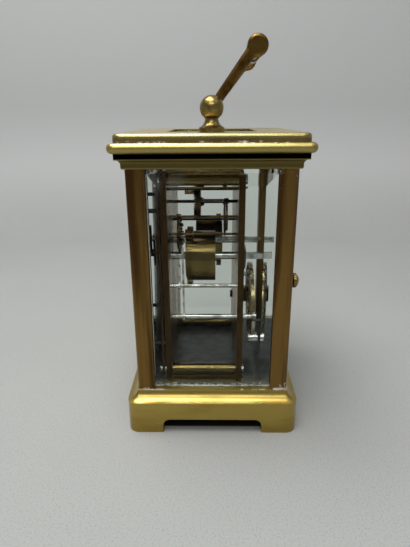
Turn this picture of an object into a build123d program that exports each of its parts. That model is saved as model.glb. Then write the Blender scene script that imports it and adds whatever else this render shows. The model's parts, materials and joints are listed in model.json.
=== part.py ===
# Pendulette clock: a glazed brass carriage clock with a folding handle and a striking movement.
# Millimetres. +Z is up, X is the width of the clock, the dial faces -Y and the door faces +Y.
# The origin is the middle of the clock's outline, on the surface it stands on.
import math
import os

from build123d import *

os.makedirs("parts", exist_ok=True)

# Fits that every piece shares
overrun = 1.0  # how far a cutting shape reaches past what it cuts
seat_gap = 0.1  # between pieces that are fixed to each other
run_gap = 0.15  # between a turning piece and its bearing

# Case
case_width = 73.4  # over the corner pillars, along X
case_depth = 61.4  # over the corner pillars, along Y
pillar_side = 7.0
pillar_height = 89.0
pillar_round = 1.6
pillar_tenon_radius = 1.5
pillar_tenon_length = 2.2

base_height = 18.25
base_overhang = 4.3
base_round = 4.5
base_wall_top = 14.0  # the crisp edge under the cove
base_cove_run = 4.0
base_cove_rise = 3.4
base_cove_sag = 0.7
base_wall = 4.0
base_floor = 4.6  # thickness of the plate that carries the pillars
arch_height = 6.3
arch_round = 3.0
foot_run = 14.6  # length of each bracket foot along a side

cornice_lip_overhang = 0.9
cornice_lip_round = 0.8
cornice_neck_overhang = 2.8
cornice_cove_height = 3.35
cornice_cove_radius = 1.7
cornice_neck_height = 2.1
bead_overhang = 5.0
bead_height = 3.6
bead_round = 2.8
bead_edge_share = 0.48
cornice_rim = 10.7  # from the pillars' outer faces to the opening

top_frame_overhang = 3.1
top_frame_height = 3.0
top_frame_round = 3.0
top_frame_edge = 1.3
top_window_width = 42.0
top_window_depth = 34.0

# Glass
glass_thickness = 3.0
glass_edge = 1.6
glass_bevel = 4.4
glass_setback = 0.7  # from the pillars' outer faces
glass_seat = 1.6  # depth of the groove that holds an edge
top_glass_thickness = 2.3
top_glass_edge = 1.0
top_glass_bevel = 4.0

# Rear door
door_thickness = 3.2
door_setback = 0.4
door_gap = 0.3
door_rail = 4.4
door_rebate = 1.5  # how far the glass runs under the frame
door_pin_radius = 0.8
door_pin_length = 2.0
door_pin_grip = 3.0
knob_height_share = 0.5  # of the pillars' height
knob_stem_radius = 1.2
knob_collar_radius = 2.0
knob_collar_height = 1.0
knob_head_radius = 3.0
knob_reach = 4.3
knob_dome = 1.4
knob_grip = 1.2

# Handle
post_inset = 7.7  # from the pillars' outer faces
post_foot_radius = 4.5
post_foot_height = 1.6
post_neck_radius = 2.35
post_flare_height = 2.6
post_flare_sag = 0.45
post_ball_radius = 4.2
post_ball_height = 8.1  # of the ball's middle over the top frame
post_flat = 3.6  # from the ball's middle to its inner flat
post_tenon_radius = 1.5
post_tenon_length = 5.0
handle_lean = 38.3  # degrees from upright, towards the door, in the photographed pose
handle_length = 25.7
handle_gap = 0.3
arm_thickness = 2.7
arm_width = 3.0
arm_top_width = 4.2
arm_top_offset = 0.5  # of the arm's upper end, away from the door
arm_blend = 2.0
arm_edge = 1.2
arm_eye_radius = 3.8
arm_knuckle_radius = 3.7
grip_tenon_radius = 1.3
grip_end_radius = 2.6
arm_skin = 0.7  # of the arm, outside the tenon of the grip
grip_waist_radius = 2.1
grip_belly_radius = 3.1
grip_ring_radius = 3.4
ring_half_share = 0.045
ring_place_shares = (0.16, 0.72, 0.92)
pivot_screw_radius = 1.3
pivot_screw_grip = 4.0
pivot_head_radius = 2.4
pivot_head_height = 1.3

# Case screws and movement screws, driven from under the base
case_screw_radius = 1.2
case_screw_grip = 8.0
case_screw_head_radius = 2.2
case_screw_head_height = 1.6
movement_screw_radius = 0.9
movement_screw_grip = 2.2
movement_screw_head_radius = 1.8
movement_screw_head_height = 1.3

# Movement frame
plate_thickness = 2.4
plate_side_gap = 5.5  # from a plate's edge to the side glass
plate_headroom = 4.15  # from the plates' top to the cornice
front_plate_y = -17.1  # inner face
back_plate_y = 10.2  # inner face
frame_pillar_radius = 2.4
frame_pillar_inset = 3.6
frame_foot_radius = 2.6
plate_screw_radius = 0.9
plate_screw_grip = 3.0
plate_screw_head_radius = 1.9
plate_screw_head_height = 0.9

# Teeth, as shares of the module and of the pitch
addendum_share = 0.75
dedendum_share = 1.0
wheel_tip_share = 0.22
wheel_root_share = 0.58
leaf_tip_share = 0.16
leaf_root_share = 0.34
hub_share = 0.3
rim_share = 0.8
arm_share = 0.12
pivot_radius = 0.45
arbor_radius = 0.5
pivot_length = 2.0

# Barrels
great_teeth = 60
great_module = 0.4
great_thickness = 2.2
centre_leaves = 8
barrel_drop = 4.0  # of the barrels' arbors under the hands' arbor
drum_rim = 1.1  # from the roots of the great wheel to the drum
drum_length = 9.4
drum_cap_step = 1.1  # from the drum's edge to its cap
drum_cap_height = 0.6
barrel_arbor_radius = 1.6
winding_square = 2.4
winding_reach = 9.0  # of the squares behind the back plate
strike_great_y = -10.2  # front face of the near great wheel
going_great_y = 2.0  # front face of the far great wheel

# Ratchets and clicks, behind the back plate
ratchet_teeth = 20
ratchet_radius = 4.6
ratchet_tooth = 0.8
ratchet_thickness = 1.2
click_reach = 5.2
click_angle = -48.0  # degrees below level, outwards from the winding square
click_pivot_radius = 0.9
click_eye_radius = 1.7
click_width = 1.5
click_gap = 0.3

# Going train
centre_teeth = 60
centre_module = 0.26
third_leaves = 6
third_teeth = 48
third_module = 0.3
contrate_leaves = 6
contrate_rise = 16.5  # of the contrate arbor over the hands' arbor
contrate_drop = 13.5  # of the contrate arbor under the plates' top
wheel_thickness = 0.8
leaf_overlap = 0.5  # how far a pinion stands past its wheel on each side
centre_wheel_y = -14.6
third_wheel_y = 5.2
set_arbor_radius = 0.7
centre_pipe_wall = 0.4
set_square = 1.3
contrate_teeth = 45
contrate_mean_radius = 6.75
contrate_face = 1.0
contrate_tooth_height = 1.0
contrate_tooth_share = 0.4
contrate_tip_y = -7.7
contrate_rim = 1.0
contrate_web = 0.8
contrate_hub_radius = 2.2
contrate_hub_length = 1.6

# Platform escapement
platform_width = 34.0
platform_thickness = 1.4
platform_screw_radius = 0.6
platform_screw_grip = 3.0
platform_screw_head_radius = 1.2
platform_screw_head_height = 0.8
platform_screw_inset = 3.0
escape_leaves = 6
escape_leaf_root = 0.43  # below the pitch circle
escape_leaf_tip = 0.3  # above the pitch circle
escape_depth = 0.35  # of the contrate teeth into the pinion
escape_teeth = 15
escape_tip_radius = 3.3
escape_tooth_depth = 1.0
escape_back_share = 0.5  # of a tooth's step, to the back of its club
escape_club_share = 0.66
escape_wheel_thickness = 0.5
escape_lift = 1.2  # of the escape wheel over the platform
potence_width = 3.0
potence_thickness = 1.4
potence_foot = 1.2
lever_distance = 4.6  # escape arbor to lever arbor
balance_distance = 5.2  # lever arbor to balance staff
pallet_reach = 2.6
lever_width = 0.8
lever_tail = 3.0
lever_swing_gap = 0.25
bridge_thickness = 0.6
bridge_lift = 2.4  # of the bridge's underside over the platform
bridge_width = 2.6
bridge_foot = 2.4
balance_radius = 6.0
balance_rim = 1.0
balance_height = 1.0
balance_lift = 3.4
balance_arm = 1.1
staff_radius = 0.5
roller_radius = 1.1
roller_height = 0.6
cock_lift = 6.4
cock_thickness = 1.3
cock_foot = 3.6
cock_width = 5.0
spring_wire = 0.18
gap_samples = 24  # on each turn of a spiral, for its least gap
spring_height = 0.3
spring_inner_radius = 1.1
spring_pitch = 0.62
spring_half_turns = 9
spring_lift = 5.2
regulator_radius = 1.6
regulator_thickness = 0.5
regulator_reach = 5.5
regulator_width = 0.7

# Motion work, hands and dial
cannon_teeth = 12
minute_teeth = 36
motion_module = 0.3
minute_leaves = 10
hour_teeth = 40
motion_wheel_thickness = 0.8
cannon_y = -20.7  # front face of the cannon teeth
hour_wheel_y = -22.0  # front face of the hour wheel
cannon_wall = 0.5
hour_pipe_wall = 0.5
minute_stud_radius = 0.7
minute_angle = -45.0  # degrees, where the minute wheel lies from the hands' arbor
dial_margin = 0.4  # from the plates' edge to the dial's
dial_thickness = 1.0
dial_front_y = -23.7
dial_foot_radius = 0.9
dial_foot_inset = 6.5
hand_thickness = 0.4
hand_gap = 0.5
minute_hand_length = 20.0
hour_hand_length = 13.5
hand_width = 1.5
hand_eye_radius = 2.9
spade_share = 0.68
hour_hand_angle = 304.0  # eight minutes past ten
minute_hand_angle = 48.0

# Strike work
pin_leaves = 8
pin_teeth = 40
strike_module = 0.3
warning_leaves = 6
warning_teeth = 36
fly_leaves = 6
pin_wheel_y = -13.6
warning_wheel_y = 5.4
pin_wheel_angle = 56.0  # degrees, from the near barrel
warning_angle = 100.0  # degrees, from the pin wheel
fly_angle = 115.0  # degrees, from the warning wheel
lifting_pins = 8
lifting_pin_radius = 0.4
lifting_pin_length = 1.4
lifting_circle_share = 0.68
fly_vane_height = 6.4
fly_vane_length = 9.0
fly_vane_thickness = 0.6
hammer_inset = 5.5  # from the plates' edge
hammer_rise = 26.65  # over the plates' foot
hammer_radius = 1.05
hammer_tail_thickness = 0.8
hammer_tail_width = 1.6
hammer_stem_length = 12.0
hammer_stem_width = 1.4
hammer_head_radius = 2.2
hammer_head_length = 4.0
hammer_gap = 0.9  # from the head to the gong at rest
gong_rise = 24.65  # of the gong's middle over the plates' foot
gong_y = 17.6
gong_wire = 1.2
gong_height = 1.6
gong_pitch = 3.4
gong_outer_radius = 17.5
gong_half_turns = 7
gong_block_side = 4.4
gong_block_height = 7.0
gong_screw_radius = 1.0
gong_screw_head_radius = 1.9
gong_screw_head_height = 1.0
release_inset = 2.5  # from the plates' edge
release_rise = 41.65  # over the plates' foot
release_radius = 0.8
release_arm_y = -13.4  # front face of the arm
release_arm_length = 8.6
release_arm_width = 1.4

# Places worked out from the sizes above
half_width = case_width / 2
half_depth = case_depth / 2
pillar_top = base_height + pillar_height
neck_bottom = pillar_top + cornice_cove_height
bead_bottom = neck_bottom + cornice_neck_height
cornice_top = bead_bottom + bead_height
clock_top = cornice_top + top_frame_height
cornice_opening_width = case_width - 2 * cornice_rim
cornice_opening_depth = case_depth - 2 * cornice_rim
opening_x = half_width - pillar_side  # inner faces of the pillars
opening_y = half_depth - pillar_side
groove_width = glass_edge + 2 * seat_gap
pillar_x = half_width - pillar_side / 2
pillar_y = half_depth - pillar_side / 2

post_x = half_width - post_inset
post_spacing = 2 * post_x
ball_z = clock_top + post_ball_height
arm_outer_x = post_x - post_flat - handle_gap
arm_inner_x = arm_outer_x - arm_thickness

door_y = half_depth - door_setback - door_thickness / 2  # middle of the door's thickness
door_edge_x = opening_x - door_gap
hinge_x = -(door_edge_x - door_thickness / 2)
door_height = pillar_height - 2 * door_gap
door_middle_z = base_height + pillar_height / 2

front_face_y = front_plate_y - plate_thickness  # outer faces of the plates
rear_face_y = back_plate_y + plate_thickness
plate_width = case_width - 2 * (glass_setback + glass_thickness + plate_side_gap)
plate_height = pillar_height - seat_gap - plate_headroom
plate_bottom = base_height + seat_gap
plate_top = plate_bottom + plate_height
frame_pillar_x = plate_width / 2 - frame_pillar_inset
frame_top_z = plate_top - frame_pillar_radius - seat_gap
frame_foot_z = plate_bottom + frame_foot_radius
dial_width = plate_width - 2 * dial_margin
dial_height = plate_height - 2 * dial_margin
dial_bottom = plate_bottom + dial_margin
hammer_x = plate_width / 2 - hammer_inset
hammer_z = plate_bottom + hammer_rise
gong_z = plate_bottom + gong_rise


def across(y):
    """The plane across the clock at y, seen from the dial: local x is X, local y is Z."""
    return Plane.XZ.offset(-y)


def mesh_radius(teeth, module):
    return teeth * module / 2


def polar(centre, radius, angle):
    turn = math.radians(angle)
    return (centre[0] + radius * math.cos(turn), centre[1] + radius * math.sin(turn))


def common_point(first, first_radius, second, second_radius, side):
    """Where two circles meet, on the left (1) or the right (-1) of the line between them."""
    dx = second[0] - first[0]
    dz = second[1] - first[1]
    span = math.hypot(dx, dz)
    along = (span**2 + first_radius**2 - second_radius**2) / (2 * span)
    aside = side * math.sqrt(first_radius**2 - along**2)
    return (
        first[0] + (along * dx - aside * dz) / span,
        first[1] + (along * dz + aside * dx) / span,
    )


def meshed_phase(first, first_teeth, first_phase, second, second_teeth):
    """The angle of a tooth of the second wheel that puts its gap on the first wheel's tooth."""
    line = math.degrees(math.atan2(second[1] - first[1], second[0] - first[0]))
    carried = first_teeth / second_teeth * (first_phase - line)
    return line + 180 - carried - 180 / second_teeth


def tooth_points(teeth, module, phase, tip_share, root_share):
    """The outline of a toothed wheel about the origin."""
    pitch = mesh_radius(teeth, module)
    root = pitch - dedendum_share * module
    tip = pitch + addendum_share * module
    step = 360 / teeth
    points = []
    for tooth in range(teeth):
        middle = phase + tooth * step
        points.append(polar((0, 0), root, middle - root_share * step / 2))
        points.append(polar((0, 0), tip, middle - tip_share * step / 2))
        points.append(polar((0, 0), tip, middle + tip_share * step / 2))
        points.append(polar((0, 0), root, middle + root_share * step / 2))
    return points


def wheel_points(teeth, module, phase):
    return tooth_points(teeth, module, phase, wheel_tip_share, wheel_root_share)


def leaf_points(teeth, module, phase):
    return tooth_points(teeth, module, phase, leaf_tip_share, leaf_root_share)


def shifted(points, centre):
    return [(x + centre[0], z + centre[1]) for x, z in points]


def keep(piece, label):
    piece.part.label = label
    export_step(piece.part, f"parts/{label}.step")


# The places of the wheels, as (X, Z)
train_distance = mesh_radius(great_teeth + centre_leaves, great_module)
contrate = (0, plate_top - contrate_drop)
centre = (0, contrate[1] - contrate_rise)
barrel_x = math.sqrt(train_distance**2 - barrel_drop**2)
barrel_z = centre[1] - barrel_drop
going_barrel = (-barrel_x, barrel_z)
strike_barrel = (barrel_x, barrel_z)
drum_radius = mesh_radius(great_teeth, great_module) - dedendum_share * great_module - drum_rim
drum_cap_radius = drum_radius - drum_cap_step
third = common_point(
    centre,
    mesh_radius(centre_teeth + third_leaves, centre_module),
    contrate,
    mesh_radius(third_teeth + contrate_leaves, third_module),
    1,
)
pin_arbor = polar(
    strike_barrel, mesh_radius(great_teeth + pin_leaves, great_module), pin_wheel_angle
)
warning = polar(pin_arbor, mesh_radius(pin_teeth + warning_leaves, strike_module), warning_angle)
fly_place = polar(warning, mesh_radius(warning_teeth + fly_leaves, strike_module), fly_angle)
hammer_place = (hammer_x, hammer_z)
release_place = (plate_width / 2 - release_inset, plate_bottom + release_rise)
minute_place = polar(centre, mesh_radius(cannon_teeth + minute_teeth, motion_module), minute_angle)
minute_leaf_module = mesh_radius(cannon_teeth + minute_teeth, motion_module) / mesh_radius(
    minute_leaves + hour_teeth, 1
)

# Tooth angles, each set by the wheel that drives it
great_phase = 0
centre_leaf_phase = meshed_phase(going_barrel, great_teeth, great_phase, centre, centre_leaves)
centre_phase = 0
third_leaf_phase = meshed_phase(centre, centre_teeth, centre_phase, third, third_leaves)
third_phase = 0
contrate_leaf_phase = meshed_phase(third, third_teeth, third_phase, contrate, contrate_leaves)
contrate_phase = 90  # one tooth stands at the top
escape_leaf_phase = 90 + 180 / escape_leaves
pin_leaf_phase = meshed_phase(strike_barrel, great_teeth, great_phase, pin_arbor, pin_leaves)
pin_phase = 0
warning_leaf_phase = meshed_phase(pin_arbor, pin_teeth, pin_phase, warning, warning_leaves)
warning_phase = 0
fly_leaf_phase = meshed_phase(warning, warning_teeth, warning_phase, fly_place, fly_leaves)
cannon_phase = 0
minute_phase = meshed_phase(centre, cannon_teeth, cannon_phase, minute_place, minute_teeth)
minute_leaf_phase = 0
hour_phase = meshed_phase(minute_place, minute_leaves, minute_leaf_phase, centre, hour_teeth)

# Base: a moulded plinth on four bracket feet, hollow underneath
base_width = case_width + 2 * base_overhang
base_depth = case_depth + 2 * base_overhang
with BuildSketch(Plane.XY.offset(base_wall_top)) as cove_plan:
    RectangleRounded(base_width, base_depth, base_round)
cove_path = cove_plan.sketch.wires()[0]
with BuildPart() as base:
    with BuildSketch() as plinth_plan:
        RectangleRounded(base_width, base_depth, base_round)
    extrude(amount=base_wall_top)
    with BuildSketch() as top_plan:
        RectangleRounded(
            base_width - 2 * base_cove_run,
            base_depth - 2 * base_cove_run,
            base_round - base_cove_run,
        )
    extrude(amount=base_height)
    with BuildSketch(Plane.XZ) as cove:
        with BuildLine():
            foot = (base_width / 2, base_wall_top)
            head = (foot[0] - base_cove_run, foot[1] + base_cove_rise)
            SagittaArc(foot, head, base_cove_sag)
            Polyline(head, (head[0], foot[1]), foot)
        make_face()
    sweep(path=cove_path)
    with BuildSketch() as hollow_plan:
        RectangleRounded(base_width - 2 * base_wall, base_depth - 2 * base_wall, arch_round)
    extrude(amount=base_height - base_floor, mode=Mode.SUBTRACT)
    for arch_plane, arch_length in (
        (Plane.YZ, base_depth - 2 * foot_run),
        (Plane.XZ, base_width - 2 * foot_run),
    ):
        with BuildSketch(arch_plane) as arch:
            Rectangle(arch_length, 2 * arch_height)
            fillet(arch.vertices(), arch_round)
        extrude(amount=base_width, both=True, mode=Mode.SUBTRACT)
    with BuildSketch(Plane.XY.offset(base_height - base_floor)) as screw_holes:
        with GridLocations(2 * pillar_x, 2 * pillar_y, 2, 2):
            Circle(case_screw_radius + seat_gap)
        with GridLocations(2 * frame_pillar_x, 0, 2, 1):
            Circle(movement_screw_radius + seat_gap)
    extrude(amount=base_floor, mode=Mode.SUBTRACT)
    with BuildSketch(Plane.XY.offset(base_height)) as hinge_socket:
        with Locations((hinge_x, door_y)):
            Circle(door_pin_radius + run_gap)
    extrude(amount=-door_pin_length - seat_gap, mode=Mode.SUBTRACT)
keep(base, "base")

# Corner pillars: square bars, rounded outside, grooved for the glass, tenoned into the cornice
side_groove_x = half_width - glass_setback - glass_thickness + glass_edge / 2
front_groove_y = -(half_depth - glass_setback - glass_thickness + glass_edge / 2)
with BuildPart() as corner_pillars:
    with BuildSketch(Plane.XY.offset(base_height)) as pillar_plan:
        with GridLocations(2 * pillar_x, 2 * pillar_y, 2, 2):
            Rectangle(pillar_side, pillar_side)
        for corner_x in (-half_width, half_width):
            for corner_y in (-half_depth, half_depth):
                outer = pillar_plan.vertices().sort_by_distance((corner_x, corner_y, base_height))
                fillet(outer[0], pillar_round)
        with GridLocations(2 * side_groove_x, 2 * opening_y, 2, 2):
            Rectangle(groove_width, 2 * glass_seat, mode=Mode.SUBTRACT)
        with Locations((0, front_groove_y)):
            Rectangle(2 * (opening_x + glass_seat), groove_width, mode=Mode.SUBTRACT)
    extrude(amount=pillar_height)
    with BuildSketch(Plane.XY.offset(pillar_top)) as tenons:
        with GridLocations(2 * pillar_x, 2 * pillar_y, 2, 2):
            Circle(pillar_tenon_radius)
    extrude(amount=pillar_tenon_length)
    with BuildSketch(Plane.XY.offset(base_height)) as pillar_holes:
        with GridLocations(2 * pillar_x, 2 * pillar_y, 2, 2):
            Circle(case_screw_radius)
    extrude(amount=case_screw_grip, mode=Mode.SUBTRACT)
keep(corner_pillars, "corner_pillars")

# Cornice: lip, cove, neck and a half-round bead, open in the middle
with BuildPart() as cornice:
    with BuildSketch(Plane.XY.offset(pillar_top)) as lip_plan:
        Rectangle(case_width + 2 * cornice_lip_overhang, case_depth + 2 * cornice_lip_overhang)
    extrude(amount=cornice_cove_height)
    fillet(cornice.faces().sort_by(Axis.Z)[0].edges(), cornice_lip_round)
    with BuildSketch(Plane.XY.offset(neck_bottom)) as neck_plan:
        Rectangle(case_width + 2 * cornice_neck_overhang, case_depth + 2 * cornice_neck_overhang)
    extrude(amount=cornice_neck_height)
    cove_edges = cornice.edges().filter_by_position(Axis.Z, neck_bottom, neck_bottom)
    cove_inner = cove_edges.filter_by(
        lambda edge: abs(edge.center().X) < half_width + cornice_lip_overhang + seat_gap
        and abs(edge.center().Y) < half_depth + cornice_lip_overhang + seat_gap
    )
    fillet(cove_inner, cornice_cove_radius)
    with BuildSketch(Plane.XY.offset(bead_bottom)) as bead_plan:
        RectangleRounded(case_width + 2 * bead_overhang, case_depth + 2 * bead_overhang, bead_round)
    extrude(amount=bead_height)
    bead_edges = cornice.edges().filter_by_position(Axis.Z, bead_bottom, cornice_top)
    bead_outer = bead_edges.filter_by(
        lambda edge: abs(edge.bounding_box().size.Z) < seat_gap
        and (
            abs(edge.center().X) > half_width + cornice_neck_overhang + seat_gap
            or abs(edge.center().Y) > half_depth + cornice_neck_overhang + seat_gap
        )
    )
    fillet(bead_outer, bead_edge_share * bead_height)
    with BuildSketch(Plane.XY.offset(pillar_top)) as opening_plan:
        Rectangle(cornice_opening_width, cornice_opening_depth)
    extrude(amount=cornice_top - pillar_top, mode=Mode.SUBTRACT)
    with BuildSketch(Plane.XY.offset(pillar_top)) as cornice_sockets:
        with GridLocations(2 * pillar_x, 2 * pillar_y, 2, 2):
            Circle(pillar_tenon_radius + seat_gap)
        with Locations((hinge_x, door_y)):
            Circle(door_pin_radius + run_gap)
    extrude(amount=pillar_tenon_length + seat_gap, mode=Mode.SUBTRACT)
    with BuildSketch(Plane.XY.offset(cornice_top)) as post_sockets:
        with GridLocations(post_spacing, 0, 2, 1):
            Circle(post_tenon_radius + seat_gap)
    extrude(amount=-post_tenon_length, mode=Mode.SUBTRACT)
keep(cornice, "cornice")

# Top frame: a flat plate with a rounded shoulder, a window and a rebate under it for the glass
with BuildPart() as top_frame:
    with BuildSketch(Plane.XY.offset(cornice_top)) as frame_plan:
        RectangleRounded(
            case_width + 2 * top_frame_overhang,
            case_depth + 2 * top_frame_overhang,
            top_frame_round,
        )
    extrude(amount=top_frame_height)
    fillet(top_frame.faces().sort_by(Axis.Z)[-1].edges(), top_frame_edge)
    with BuildSketch(Plane.XY.offset(cornice_top)) as rebate_plan:
        Rectangle(top_window_width + 2 * glass_seat, top_window_depth + 2 * glass_seat)
    extrude(amount=top_glass_edge + seat_gap, mode=Mode.SUBTRACT)
    with BuildSketch(Plane.XY.offset(cornice_top)) as window_plan:
        Rectangle(top_window_width, top_window_depth)
        with GridLocations(post_spacing, 0, 2, 1):
            Circle(post_tenon_radius + seat_gap)
    extrude(amount=top_frame_height, mode=Mode.SUBTRACT)
keep(top_frame, "top_frame")


def bevelled_glass(label, plane, width, height, thickness, edge, rim, bevel):
    """A pane whose thin rim sits in its groove and whose outer face is bevelled all round.

    The plane lies on the inner face and looks outwards.
    """
    with BuildPart() as pane:
        with BuildSketch(plane):
            Rectangle(width, height)
        extrude(amount=edge)
        with BuildSketch(plane.offset(edge)):
            Rectangle(width - 2 * rim, height - 2 * rim)
        with BuildSketch(plane.offset(thickness)):
            Rectangle(width - 2 * (rim + bevel), height - 2 * (rim + bevel))
        loft()
    keep(pane, label)


pane_height = pillar_height - 2 * seat_gap
side_pane_width = 2 * (opening_y + glass_seat - seat_gap)
side_inner_x = half_width - glass_setback - glass_thickness
for side_label, side_sign in (("side_glass_right", 1), ("side_glass_left", -1)):
    bevelled_glass(
        side_label,
        Plane(
            origin=(side_sign * side_inner_x, 0, door_middle_z),
            x_dir=(0, side_sign, 0),
            z_dir=(side_sign, 0, 0),
        ),
        side_pane_width,
        pane_height,
        glass_thickness,
        glass_edge,
        glass_seat,
        glass_bevel,
    )
bevelled_glass(
    "front_glass",
    Plane(
        origin=(0, -(half_depth - glass_setback - glass_thickness), door_middle_z),
        x_dir=(1, 0, 0),
        z_dir=(0, -1, 0),
    ),
    2 * (opening_x + glass_seat - seat_gap),
    pane_height,
    glass_thickness,
    glass_edge,
    glass_seat,
    glass_bevel,
)
bevelled_glass(
    "top_glass",
    Plane.XY.offset(cornice_top),
    top_window_width + 2 * (glass_seat - seat_gap),
    top_window_depth + 2 * (glass_seat - seat_gap),
    top_glass_thickness,
    top_glass_edge,
    glass_seat,
    top_glass_bevel,
)

# Rear door: a narrow frame, half round at its hinge edge, with its own bevelled pane
door_width = 2 * door_edge_x
window_width = door_width - 2 * door_rail
window_height = door_height - 2 * door_rail
door_bottom = door_middle_z - door_height / 2
door_inner_y = door_y - door_thickness / 2
door_outer_y = door_y + door_thickness / 2
door_face = Plane(origin=(0, door_inner_y, door_middle_z), x_dir=(-1, 0, 0), z_dir=(0, 1, 0))
knob_x = door_edge_x - door_rail / 2
knob_z = base_height + knob_height_share * pillar_height
with BuildPart() as door_frame:
    with BuildSketch(Plane.XY.offset(door_bottom)) as door_plan:
        with Locations(((hinge_x + door_edge_x) / 2, door_y)):
            Rectangle(door_edge_x - hinge_x, door_thickness)
        with Locations((hinge_x, door_y)):
            Circle(door_thickness / 2)
    extrude(amount=door_height)
    with BuildSketch(door_face) as door_window:
        Rectangle(window_width, window_height)
    extrude(amount=door_thickness, mode=Mode.SUBTRACT)
    with BuildSketch(door_face) as door_rebate_plan:
        Rectangle(window_width + 2 * door_rebate, window_height + 2 * door_rebate)
    extrude(amount=glass_edge + seat_gap, mode=Mode.SUBTRACT)
    with BuildSketch(Plane.XY.offset(door_bottom)) as pin_holes:
        with Locations((hinge_x, door_y)):
            Circle(door_pin_radius)
    extrude(amount=door_height, mode=Mode.SUBTRACT)
    with BuildSketch(door_face.offset(door_thickness - knob_grip)) as knob_hole:
        with Locations((-knob_x, knob_z - door_middle_z)):
            Circle(knob_stem_radius)
    extrude(amount=knob_grip, mode=Mode.SUBTRACT)
keep(door_frame, "door_frame")

bevelled_glass(
    "door_glass",
    door_face,
    window_width + 2 * (door_rebate - seat_gap),
    window_height + 2 * (door_rebate - seat_gap),
    glass_thickness,
    glass_edge,
    door_rebate,
    glass_bevel,
)

with BuildPart() as door_pins:
    with BuildSketch(Plane.XY.offset(door_bottom - door_pin_length)) as lower_pin:
        with Locations((hinge_x, door_y)):
            Circle(door_pin_radius)
    extrude(amount=door_pin_length + door_pin_grip)
    with BuildSketch(Plane.XY.offset(door_bottom + door_height - door_pin_grip)) as upper_pin:
        with Locations((hinge_x, door_y)):
            Circle(door_pin_radius)
    extrude(amount=door_pin_grip + door_pin_length)
keep(door_pins, "door_pins")

with BuildPart() as door_knob:
    with BuildSketch(Plane(origin=(knob_x, door_outer_y, knob_z))) as knob_profile:
        with BuildLine():
            shoulder = knob_collar_height
            rim = (knob_head_radius, knob_reach - knob_dome)
            crown = (0, knob_reach)
            dome_radius = (knob_head_radius**2 + knob_dome**2) / (2 * knob_dome)
            dome_turn = math.asin(knob_head_radius / dome_radius) / 2
            dome_middle = (
                dome_radius * math.sin(dome_turn),
                knob_reach - dome_radius * (1 - math.cos(dome_turn)),
            )
            Polyline(
                crown,
                (0, -knob_grip),
                (knob_stem_radius, -knob_grip),
                (knob_stem_radius, 0),
                (knob_collar_radius, 0),
                (knob_stem_radius, shoulder),
                (knob_head_radius, shoulder + knob_collar_height),
                rim,
            )
            ThreePointArc(rim, dome_middle, crown)
        make_face()
    revolve(axis=Axis((knob_x, door_outer_y, knob_z), (0, 1, 0)))
keep(door_knob, "door_knob")

# Handle posts: a foot, a flared neck and a ball with a flat inside, tenoned through the top frame
neck_z = post_foot_height + post_flare_height
post_origin = (post_x, 0, clock_top)
with BuildPart() as handle_posts:
    with BuildSketch(Plane(origin=post_origin, x_dir=(1, 0, 0), z_dir=(0, -1, 0))) as post_profile:
        with BuildLine():
            ball_meet = math.sqrt(post_ball_radius**2 - post_neck_radius**2)
            collar = (post_neck_radius, post_ball_height - ball_meet)
            crown = (0, post_ball_height + post_ball_radius)
            Polyline(
                (0, -post_tenon_length - top_frame_height),
                (post_tenon_radius, -post_tenon_length - top_frame_height),
                (post_tenon_radius, 0),
                (post_foot_radius, 0),
                (post_foot_radius, post_foot_height),
            )
            SagittaArc((post_foot_radius, post_foot_height), (post_neck_radius, neck_z), post_flare_sag)
            Line((post_neck_radius, neck_z), collar)
            ThreePointArc(collar, (post_ball_radius, post_ball_height), crown)
            Line(crown, (0, -post_tenon_length - top_frame_height))
        make_face()
    revolve(axis=Axis(post_origin, (0, 0, 1)))
    with BuildSketch(Plane.YZ.offset(post_x - post_flat)) as ball_flat:
        with Locations((0, ball_z)):
            Circle(post_ball_radius)
    extrude(amount=-post_ball_radius, mode=Mode.SUBTRACT)
    with BuildSketch(Plane.YZ.offset(post_x - post_flat)) as ball_hole:
        with Locations((0, ball_z)):
            Circle(pivot_screw_radius)
    extrude(amount=pivot_screw_grip, mode=Mode.SUBTRACT)
    mirror(about=Plane.YZ)
keep(handle_posts, "handle_posts")

# Handle: two tapered arms with round eyes, a turned grip and the two screws it swings on
lean = math.radians(handle_lean)
grip_y = handle_length * math.sin(lean)
grip_z = ball_z + handle_length * math.cos(lean)
arm_plane = Plane(
    origin=(arm_inner_x, 0, ball_z),
    x_dir=(0, math.sin(lean), math.cos(lean)),
    z_dir=(1, 0, 0),
)
with BuildPart() as handle_arms:
    with BuildSketch(arm_plane) as arm_outline:
        Circle(arm_eye_radius)
        with Locations((handle_length, 0)):
            Circle(arm_knuckle_radius)
        with BuildLine():
            Polyline(
                (0, -arm_width / 2),
                (handle_length, arm_top_offset - arm_top_width / 2),
                (handle_length, arm_top_offset + arm_top_width / 2),
                (0, arm_width / 2),
                close=True,
            )
        make_face()
        fillet(arm_outline.vertices(), arm_blend)
    extrude(amount=arm_thickness)
    fillet(handle_arms.faces().filter_by(Axis.X).edges(), arm_edge)
    with BuildSketch(arm_plane) as arm_holes:
        Circle(pivot_screw_radius + run_gap)
    extrude(amount=arm_thickness, mode=Mode.SUBTRACT)
    with BuildSketch(arm_plane) as tenon_holes:
        with Locations((handle_length, 0)):
            Circle(grip_tenon_radius)
    extrude(amount=arm_thickness - arm_skin, mode=Mode.SUBTRACT)
    mirror(about=Plane.YZ)
keep(handle_arms, "handle_arms")

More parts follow.
